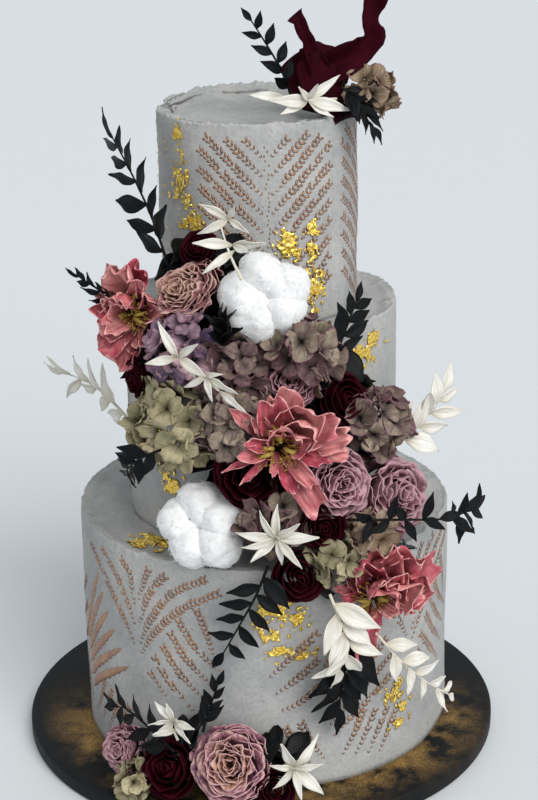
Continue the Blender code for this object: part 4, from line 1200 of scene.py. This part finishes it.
def garden_rose(head, chance):
    """A dried garden rose: papery petals spiral out from a sunken heart, each folded and ruffled its own way."""
    radius = head.radius * MM
    number = 46
    parts = []
    # In two of the finishes the heart's petals have turned golden.
    golden = head.finish in ("blush", "rosewood")
    for k in range(number):
        share = (k + 0.5) / number
        reach = (0.07 + 0.93 * share**0.85) * chance.uniform(0.93, 1.07)
        top = 0.38 + 0.16 * math.sin(3.4 * share) - 0.62 * share**2.4 + chance.uniform(-0.04, 0.04)
        lean = math.radians(88 - 62 * share**1.5 + chance.uniform(-7, 7))
        curl = math.radians(8 + 14 * share)
        foot = -0.5 + 0.1 * share
        length = (top - foot) / math.sin(lean + curl / 2)
        run = length * math.cos(lean + curl / 2)
        parts.append(petal(
            chance, head.finish, 2.39996 * k + chance.uniform(-0.3, 0.3), length * radius,
            (0.42 + 0.95 * share**0.7) * radius * chance.uniform(0.8, 1.2), (reach - run) * radius, foot * radius, lean,
            curl, math.radians((-14 - 62 * share) * chance.uniform(0.2, 1.5)),
            cup=max(reach, 0.14) * radius * chance.uniform(0.7, 1.3), rounding=0.26, narrow=0.5,
            ruffle=(0.04 + 0.09 * share) * radius, pleat=0.014 * radius, ragged=0.05,
            crumple=(0.012 + 0.025 * share) * radius, cells=(12, 9),
            tint=min(1.0, max(0.0, 1.15 - 1.5 * share + chance.uniform(-0.25, 0.25))) if golden else None,
        ))
    if head.finish == "rosewood":
        # Its swirl dried flattened, drawn out towards the upper right.
        slant = Matrix.Rotation(math.radians(38), 4, "Z")
        parts = moved(parts, slant @ Matrix.Diagonal((1.12, 0.76, 1, 1)) @ slant.inverted())
    return parts


def velvet_rose(head, chance):
    """A preserved rose: few broad smooth petals wrapped round a closed heart."""
    radius = head.radius * MM
    parts = []
    rings = (
        (0.10, 0.52, 3, 0.14, 90, 6, 0, 2.0),
        (0.24, 0.54, 3, 0.28, 88, 8, -4, 1.6),
        (0.42, 0.50, 4, 0.46, 82, 12, -16, 1.45),
        (0.62, 0.44, 5, 0.66, 74, 16, -34, 1.3),
        (0.82, 0.30, 5, 0.90, 60, 22, -60, 1.3),
        (0.94, 0.08, 5, 1.20, 42, 22, -60, 1.3),
    )
    for ring, (reach, top, number, roll, lean, curl, tip, width) in enumerate(rings):
        for k in range(number):
            turn = 2 * math.pi * (k + 0.5 * (ring % 2)) / number + chance.uniform(-0.25, 0.25)
            foot = -0.45 * radius
            length = (top * radius - foot) / math.sin(math.radians(lean + curl / 2)) * chance.uniform(0.95, 1.08)
            run = length * math.cos(math.radians(lean + curl / 2))
            parts.append(petal(
                chance, head.finish, turn, length, width * max(reach, 0.3) * radius * 1.35 if ring < 3 else
                width * radius, reach * radius - run, foot, math.radians(lean), math.radians(curl),
                math.radians(tip * chance.uniform(0.6, 1.3)), cup=roll * radius, rounding=0.3, narrow=0.55,
                ruffle=0.045 * radius, ragged=0.02, cells=(10, 8),
            ))
    return parts


# Flowers whose petals dried each its own way. The heart, in millimetres right of and above the head's
# middle; then for each petal its turn (0 is right, 90 up), length, width, lean from flat, curl along it,
# bend of its tip, cup radius, distance from the heart, rise, and how pointed it is.
LAID = {
    "peony_centre": ((-3.8, -3.3), [
        (98, 30, 19, 22, 30, 10, 11, 3, -4, 0.0), (82, 33, 19, 14, 20, 10, 12, 3, -6, 0.0),
        (56, 34, 27, 20, 48, 60, 12, 4, -6, 0.0), (44, 31, 22, 34, 44, 40, 10, 4, -5, 0.0),
        (66, 22, 18, 46, 36, 30, 9, 4, -3, 0.0), (24, 34, 18, 18, 24, 10, 9, 4, -6, 0.0),
        (7, 36, 15, 8, 22, -10, 7, 4, -5, 0.0), (-7, 31, 11, 4, 16, -20, 6, 4, -6, 0.0),
        (-18, 22, 9, 20, 10, -40, 5, 4, -5, 0.1), (16, 21, 14, 44, 30, 20, 7, 4, -3, 0.0),
        (138, 31, 9, 10, -6, 40, 4, 3, -5, 0.35), (126, 23, 10, 30, 6, 30, 5, 3, -4, 0.1),
        (164, 18, 9, 40, 10, -60, 4, 3, -2, 0.1), (184, 20, 10, 28, 14, -50, 5, 3, -3, 0.1),
        (199, 27, 4.5, 6, 6, 26, 3, 3, -3, 0.6), (221, 24, 4.5, 4, 6, 20, 3, 3, -3, 0.5),
        (-60, 38, 17, 10, 14, -30, 7, 3, -5, 0.15), (-50, 25, 10, 30, 14, -40, 5, 3, -3, 0.1),
        (-76, 23, 9, 22, 10, -30, 5, 3, -3, 0.3), (108, 17, 11, 52, 30, 10, 6, 3, -3, 0.0),
        (252, 14, 5, 30, 0, 10, 4, 2, -2, 0.4),
    ]),
    "peony_left": ((3.9, 0.7), [
        (96, 28, 21, 20, 30, 20, 12, 3, -4, 0.0), (76, 29, 15, 14, 16, 10, 9, 3, -5, 0.0),
        (114, 28, 17, 14, 20, 10, 10, 3, -5, 0.0), (104, 20, 17, 44, 34, 20, 9, 3, -2, 0.0),
        (130, 19, 18, 40, 44, 30, 10, 3, -3, 0.0), (146, 15, 15, 52, 40, 20, 8, 3, -1, 0.0),
        (56, 27, 15, 26, 22, 10, 7, 3, -4, 0.0), (38, 21, 13, 24, 20, 10, 8, 3, -5, 0.0),
        (184, 22, 19, 22, 50, 20, 8, 3, -4, 0.0), (162, 22, 15, 14, 30, 20, 8, 3, -5, 0.0),
        (206, 18, 15, 40, 40, 20, 7, 3, -2, 0.0), (226, 21, 17, 34, 30, 10, 9, 3, -3, 0.0),
        (248, 27, 21, 22, 24, 10, 11, 3, -4, 0.0), (264, 32, 18, 10, 16, 0, 10, 3, -5, 0.0),
        (284, 22, 13, 18, 16, 10, 8, 3, -5, 0.0), (238, 18, 15, 50, 34, 30, 8, 3, -1, 0.0),
        (312, 20, 14, 20, 20, 10, 9, 3, -5, 0.0), (0, 26, 19, 16, 24, 10, 10, 3, -5, 0.0),
        (22, 27, 17, 20, 20, 10, 9, 3, -5, 0.0), (84, 17, 14, 54, 40, 20, 7, 3, -1, 0.0),
    ]),
    "peony_right": ((-3.4, -9.0), [
        (108, 33, 23, 24, 34, 10, 8, 4, -5, 0.0), (84, 32, 24, 20, 24, 20, 12, 4, -7, 0.0),
        (62, 37, 28, 18, 34, 0, 13, 4, -7, 0.0), (38, 38, 27, 16, 30, -10, 12, 4, -7, 0.0),
        (16, 31, 22, 22, 24, 0, 10, 4, -6, 0.0), (56, 28, 24, 40, 34, 10, 11, 4, -4, 0.0),
        (30, 28, 22, 42, 30, 20, 10, 4, -3, 0.0), (76, 24, 20, 48, 36, 20, 9, 4, -3, 0.0),
        (48, 22, 20, 56, 34, 30, 9, 4, -1, 0.0), (2, 24, 16, 30, 24, -20, 8, 4, -4, 0.0),
        (172, 16, 6, 14, 10, 0, 5, 3, -4, 0.4), (158, 20, 6, 6, 6, 0, 5, 3, -4, 0.4),
        (237, 12, 10, 30, 10, -30, 6, 3, -3, 0.0), (-44, 14, 8, 40, 30, -90, 4, 3, -2, 0.1),
        (-22, 16, 9, 36, 30, -90, 4, 3, -2, 0.1), (126, 22, 14, 16, 20, 10, 8, 3, -6, 0.0),
        (-8, 18, 14, 26, 10, -30, 7, 3, -4, 0.0),
    ]),
    "rose_topper": ((-1.0, 0.0), [
        (93, 34, 33, 2, 0, -14, -16, -18, 6, 0.0), (116, 33, 24, -4, 0, -10, -14, -18, 2.5, 0.0),
        (64, 37, 26, -4, 0, -6, -15, -18, 2.5, 0.0), (90, 39, 38, -8, 0, 10, -22, -18, -1, 0.0),
        (86, 15, 18, 26, -60, -60, -30, 8, 4, 0.0), (108, 14, 12, 20, -50, -70, -30, 9, 3, 0.0),
        (150, 15, 14, -10, -10, 0, -12, -2, -2, 0.2), (24, 22, 15, -10, 4, 0, -14, -2, -2, 0.2),
    ]),
}


def laid_flower(name, head, chance):
    """A flower from its own list of petals."""
    heart, petals = LAID[name]
    crisp = 1.0 if head.finish == "coral" else 0.25
    fuller = 1.15 if head.finish == "coral" else 1.0
    parts = []
    for turn, length, width, lean, curl, tip, cup, reach, rise, point in petals:
        cells = (18, 18) if length > 15 else (10, 12)
        parts.append(petal(
            chance, head.finish, math.radians(turn), length * MM, width * fuller * MM, reach * MM, rise * MM,
            math.radians(lean), math.radians(curl), math.radians(tip), cup * MM, rounding=0.17,
            narrow=0.34 if head.finish == "coral" else 0.55, ruffle=0.17 * width * crisp * MM,
            pleat=0.018 * width * crisp * MM, ragged=0.08 * crisp, point=point, crumple=0.035 * width * crisp * MM,
            cells=cells,
        ))
    return moved(parts, Matrix.Translation((heart[0] * MM, heart[1] * MM, 0)))


# Petals that stand far out of a flower, as stations along each: azimuth, distance, height and width.
LONG_PETALS = {
    "rose_topper": [
        [(64, 36, 374, 13), (61, 34, 383, 11), (58, 31, 391, 9), (55, 29, 397, 7.5), (52, 27, 403, 8), (49, 25, 406, 11)],
        [(66, 38, 375, 14), (71, 46, 381, 18), (75, 56, 387, 19), (77, 60, 394, 15), (76, 60, 401, 12),
         (77, 61, 408, 11), (78, 62, 416, 14), (79, 61, 423, 13), (79, 59, 429, 10)],
    ],
    "peony_right": [[(27, 127, 112, 8), (26, 127, 105, 10), (25, 126, 97, 12), (25, 124, 89, 12), (25, 123, 80, 8)]],
}


def ribbon_petal(head, look, stations, chance):
    """A long leathery petal through its stations, waved along its sides and folded down its middle."""
    spans = len(stations) - 1
    line = smooth_route([station[:3] for station in stations], 30)
    u, v, faces = blank(8, 30)
    row = np.rint(v * 30).astype(int)
    widths = np.interp(v * spans, range(spans + 1), [station[3] for station in stations]) * MM / 2
    points = np.empty((len(u), 3))
    wave = ripple(np.stack([u * 0.4, v * 3, np.zeros(len(u))], axis=1), 0.8, chance, 5)
    frames = []
    for point, along in line:
        across = along.cross(facing(head)).normalized()
        frames.append((point, across, across.cross(along).normalized()))
    twist = chance.uniform(-0.5, 0.5)
    for k in range(len(u)):
        point, across, out = frames[row[k]]
        turn = twist * math.sin(math.pi * v[k])
        side = across * math.cos(turn) + out * math.sin(turn)
        front = out * math.cos(turn) - across * math.sin(turn)
        x = u[k] * widths[k] * (1 - 0.12 * abs(wave[k]))
        rise = (0.8 * u[k] ** 2 + 0.32 * wave[k] * abs(u[k])) * widths[k]
        points[k] = point + side * x + front * rise
    # Their v starts at 0.35, so the finish's painted foot shade falls on them only lightly.
    return Part(points, faces, np.stack([(u + 1) / 2, 0.35 + 0.65 * v], axis=1), chance.random(), look)


def stamens(head, chance):
    """The dried heart of a peony: curled threads with long anthers, and a few swollen yellow carpels."""
    radius = head.radius * MM
    made = []
    for k in range(38):
        turn = 2.4 * k
        spread = 0.05 + 0.26 * math.sqrt(k / 38)
        way = Vector((math.cos(turn), math.sin(turn), 0))
        side = Vector((-way.y, way.x, 0)) * chance.uniform(-0.09, 0.09) * radius
        rise = (0.1 + 0.16 * chance.random() - 0.3 * spread) * radius
        line = [
            way * 0.3 * spread * radius + UP * -0.3 * radius,
            way * 0.8 * spread * radius + side + UP * (rise - 0.1 * radius),
            way * 1.2 * spread * radius + side * 1.6 + UP * rise,
            way * 1.5 * spread * radius + side * 0.5 + UP * (rise - 0.06 * radius),
        ]
        made.append(strands(line, [0.22 * MM] * 4, 4, chance.random(), "anther"))
        aim = (line[3] - line[2]).normalized()
        tip = [line[3], line[3] + aim * 1.2 * MM, line[3] + aim * 2.6 * MM]
        made.append(strands(tip, [0.3 * MM, 0.65 * MM, 0.25 * MM], 5, chance.random(), "anther"))
    for k in range(6):
        turn = 1.9 * k + chance.uniform(-0.4, 0.4)
        way = Vector((math.cos(turn), math.sin(turn), 0))
        side = Vector((-way.y, way.x, 0)) * chance.uniform(-1.6, 1.6) * MM
        reach = chance.uniform(0.22, 0.42) * radius
        line = [
            way * 0.1 * radius + UP * -0.2 * radius, way * 0.5 * reach + UP * 0.04 * radius,
            way * reach + side + UP * 0.06 * radius, way * (reach + 2.4 * MM) + side * 2 + UP * 0.0 * radius,
        ]
        made.append(strands(line, [0.8 * MM, 1.3 * MM, 1.1 * MM, 0.2 * MM], 7, chance.random(), "carpel"))
    return made


FLORET_REACH = 11.0  # millimetres from the middle of a hydrangea floret to the ends of its bracts


def floret(chance, look):
    """One floret of a hydrangea in millimetres: four broad veined bracts."""
    parts = []
    for k in range(4):
        parts.append(petal(
            chance, look, k * math.pi / 2 + chance.uniform(-0.15, 0.15), FLORET_REACH * chance.uniform(0.85, 1.1),
            FLORET_REACH * chance.uniform(1.0, 1.25), 0.5, 0.3 * (k % 2), math.radians(chance.uniform(5, 40)),
            math.radians(chance.uniform(-40, 50)), math.radians(chance.uniform(-50, 20)),
            cup=FLORET_REACH * chance.uniform(0.8, 2.5), rounding=0.36, narrow=0.3,
            ruffle=FLORET_REACH * 0.1, pleat=FLORET_REACH * 0.025, ragged=0.06, cells=(7, 7), tint=0.5,
        ))
    return parts


def hydrangea(name, head, chance):
    """Florets crowded over a dome, leaving out those that a neighbour hides."""
    radius = head.radius * MM
    shapes = FLORETS[head.finish]
    matrix = head_matrix(head)
    size = 0.5 * MM + 0.5 * MM * min(1.0, head.radius / 18)
    around = [
        (place(o.azimuth, o.distance, o.height), o.radius * MM, o.kind) for n, o in HEADS.items() if n != name
    ]
    centre = matrix.translation
    number = round(17 * (head.radius / 17) ** 1.5)
    sheets = []
    for k in range(number):
        polar = math.acos(1 - 1.45 * (k + 0.5) / number)
        turn = 2.39996 * k + chance.uniform(-0.3, 0.3)
        way = Vector((math.sin(polar) * math.cos(turn), math.sin(polar) * math.sin(turn), math.cos(polar)))
        at = way * (radius - 2.5 * MM) * chance.uniform(0.86, 1.04)
        world = matrix @ at
        if any((world - c).length < r * (0.8 if kind != "hydrangea" else 0.62) for c, r, kind in around):
            continue
        tilt = Vector([chance.gauss(0, 0.32) for _ in range(3)])
        turned = (way + tilt).to_track_quat("Z", "Y").to_matrix().to_4x4()
        spun = Matrix.Rotation(chance.uniform(0, 7), 4, "Z")
        placed = matrix @ Matrix.Translation(at) @ turned @ spun @ Matrix.Scale(size * chance.uniform(0.85, 1.1), 4)
        tint = chance.random()
        for part in moved(chance.choice(shapes), placed):
            sheets.append(part._replace(
                points=kept_off_icing(part.points), tint=min(1.0, max(0.0, tint + chance.gauss(0, 0.16)))
            ))
    # Thin branched stalks carry the florets.
    solids = [stalk(head, matrix, radius)]
    for k in range(9):
        turn = 2.4 * k
        end = Vector((math.cos(turn), math.sin(turn), 0.7)).normalized() * 0.8 * radius
        solids.append(strands([matrix @ Vector((0, 0, -0.5 * radius)), matrix @ (end * 0.5), matrix @ end], [0.5 * MM] * 3, 4))
    return sheets, solids


FLORETS = {
    look: [floret(random.Random(f"{look} floret {k}"), look) for k in range(8)] for look in ("sage", "umber", "heather", "plum", "dusk")
}


def shade_filling_leaves():
    """Small dark leaves that stand out of the icing between the flowers, where two or more heads are near; these dark
    sheets fill the gaps as painted shade between the heads.
    """
    chance = random.Random("filling")
    heads = [(place(h.azimuth, h.distance, h.height), h.radius * MM) for h in HEADS.values()]
    sheets = []
    for _ in range(2600):
        azimuth, height = chance.uniform(-58, 54), chance.uniform(10, 300)
        wall = max(size.radius for size in TIERS.values() if height * MM < size.rim)
        foot = place(azimuth, wall / MM - 1, height)
        out = outward(foot)
        aside = UP.cross(out) * chance.gauss(0, 0.5) + UP * chance.gauss(0, 0.5)
        direction = (out + aside).normalized()
        length = chance.uniform(15, 26) * MM
        tip = foot + direction * length
        near = sum((tip - middle).length < radius + 9 * MM for middle, radius in heads)
        if near < 2 or is_inside_head(tip) or is_inside_head(foot + direction * 0.6 * length):
            continue
        face = (UP + outward(foot) * 0.6 + UP.cross(out) * chance.gauss(0, 0.6)).normalized()
        face = (face - direction * face.dot(direction)).normalized()
        across = direction.cross(face)
        matrix = Matrix((across * length * 1.3, direction * length, face * length)).transposed().to_4x4()
        matrix.translation = foot
        sheets += moved([chance.choice(LEAVES["black"])], matrix, chance.random())
    return sheets


def cotton_boll(name, head, chance):
    """Five puffs of lint in an open boll, with loose fibres round them and dry bract tips in the seams."""
    radius = head.radius * MM
    matrix = head_matrix(head)
    bpy.ops.mesh.primitive_ico_sphere_add(subdivisions=4, radius=1)
    ball = bpy.context.object
    points = np.array([v.co for v in ball.data.vertices])
    faces = np.array([tuple(f.vertices) for f in ball.data.polygons])
    bpy.data.objects.remove(ball)
    tufts = []
    for _ in range(12):
        tuft = []
        for _ in range(4):
            side = Vector((chance.gauss(0, 1.0), chance.gauss(0, 1.0), 0))
            line = [side * 0.25, side * 0.8 + UP * 0.3, side * 1.6 + UP * chance.uniform(0.1, 0.6)]
            tuft.append(strands(line, [0.14, 0.1, 0.03], 3, 0.5, "tuft"))
        tufts.append(tuft)
    solids = [stalk(head, matrix, radius)]
    locks = 5
    for k in range(locks):
        turn = 2 * math.pi * k / locks + 0.5
        swell = 0.07 * ripple(points, 1.5, chance) + 0.03 * ripple(points, 0.6, chance)
        reach = (1 + swell + 0.005 * ripple(points, 0.12, chance))[:, None]
        shaped = points * reach * (0.55 * radius, 0.55 * radius, 0.62 * radius)
        placed = matrix @ Matrix.Rotation(turn, 4, "Z") @ Matrix.Translation((0.5 * radius, 0, 0.1 * radius))
        part = Part(shaped, faces, np.full((len(points), 2), 0.5), 0.5, "cotton")
        solids += moved([part], placed)
        for _ in range(170):
            root = Vector(shaped[chance.randrange(len(shaped))])
            turned = root.normalized().to_track_quat("Z", "Y").to_matrix().to_4x4()
            turned = Matrix.Translation(root * 0.985) @ turned @ Matrix.Rotation(chance.uniform(0, 7), 4, "Z")
            solids += moved(chance.choice(tufts), placed @ turned @ Matrix.Scale(chance.uniform(0.5, 1.4) * MM, 4))
    for k in range(locks):
        turn = 2 * math.pi * (k + 0.5) / locks + 0.5
        line = [
            Vector((reach * radius * math.cos(turn), reach * radius * math.sin(turn), rise * radius))
            for reach, rise in ((0.06, 0.34), (0.25, 0.5), (0.5, 0.5), (0.66, 0.42))
        ]
        solids.append(strands([matrix @ p for p in line], [0.5 * MM, 0.9 * MM, 0.7 * MM, 0.2 * MM], 5, 0.5, "bract"))
    return solids


FINISHES["tuft"] = FINISHES["cotton"]


def flower_piece(name):
    head = HEADS[name]
    chance = random.Random(name)
    matrix = head_matrix(head)
    radius = head.radius * MM
    if head.kind == "hydrangea":
        sheets, solids = hydrangea(name, head, chance)
        piece(name + "_head", sheets, solids, 0.3 * MM, name)
        return
    if head.kind == "cotton":
        piece(name + "_boll", (), cotton_boll(name, head, chance), 0, name)
        return
    if head.kind == "laid":
        sheets = moved(laid_flower(name, head, chance), matrix)
    else:
        sheets = moved({"garden": garden_rose, "velvet": velvet_rose}[head.kind](head, chance), matrix)
    sheets += [ribbon_petal(head, head.finish, stations, chance) for stations in LONG_PETALS.get(name, ())]
    sheets = [part._replace(points=kept_off_icing(part.points)) for part in sheets]
    solids = [stalk(head, matrix, radius)]
    if head.finish == "coral":
        heart = Matrix.Translation((LAID[name][0][0] * MM, LAID[name][0][1] * MM, 2 * MM))
        solids += moved(stamens(head, chance), matrix @ heart)
    piece(name + "_bloom", sheets, solids, 0.35 * MM, name)


# --- making it all ---------------------------------------------------------------------------------

round_board()
ICED = {node: iced_tier(node) for node in TIERS}
# The pattern stops where the top tier's left is rough.
piece(
    "stencil_top", (),
    stencil_marks("tier_top", fan_fronds(), QUARTERS, 2.7, 3.7, [(274, 320, 230, 360)]) + stencil_dots("tier_top"),
)
piece(
    "stencil_bottom", wavy_bands("tier_bottom", swept_rows(), (0, 180)),
    stencil_marks("tier_bottom", arch_fronds(), QUARTERS, 2.8, 3.9)
    + stencil_marks("tier_bottom", swept_rows(), (90, 270), 2.8, 3.9), 0.1 * MM,
)
piece("gold_leaf", gold_parts(), (), 0.08 * MM)
for name in HEADS:
    flower_piece(name)
for name in SPRIGS:
    ruscus_piece(name)
# Dark leaves put in the gaps between the heads, standing in for the shade there.
piece("shade_filling_leaves", shade_filling_leaves(), (), 0.35 * MM)

# --- floor, light and camera -------------------------------------------------------------------------

bpy.ops.mesh.primitive_plane_add(size=8, location=(0, 0, -0.0002))
floor = bpy.context.object
floor.name = "floor"
ground, tree, shader = finish("pale_floor", roughness=0.6)
shader.inputs["Base Color"].default_value = colour("#d6d9db")
floor.data.materials.append(ground)

world = bpy.data.worlds.new("pale_room")
bpy.context.scene.world = world
world.use_nodes = True
world.node_tree.nodes["Background"].inputs["Color"].default_value = colour("#e6ebef")
world.node_tree.nodes["Background"].inputs["Strength"].default_value = 0.7

daylight = bpy.data.lights.new("daylight", "SUN")
daylight.energy = 2.55
daylight.angle = math.radians(40)
sun = bpy.data.objects.new("daylight", daylight)
sun.rotation_euler = Vector((-0.42, 0.72, -0.66)).to_track_quat("-Z", "Y").to_euler()
bpy.context.scene.collection.objects.link(sun)

camera = bpy.data.objects.new("camera", bpy.data.cameras.new("camera"))
bpy.context.scene.collection.objects.link(camera)
camera.data.sensor_fit = "VERTICAL"
camera.data.sensor_height = 36
camera.data.lens = 82.04
LOOKING_DOWN = math.radians(19.59)
ROLL = math.radians(-0.91)
ahead = Vector((0, math.cos(LOOKING_DOWN), -math.sin(LOOKING_DOWN)))
above = Vector((0, math.sin(LOOKING_DOWN), math.cos(LOOKING_DOWN)))
turned = Matrix((ahead.cross(above), above, -ahead)).transposed() @ Matrix.Rotation(ROLL, 3, "Z")
camera.matrix_world = Matrix.Translation((0.0075, -0.9753, 0.546)) @ turned.to_4x4()
bpy.context.scene.camera = camera
bpy.context.scene.view_settings.view_transform = "Standard"
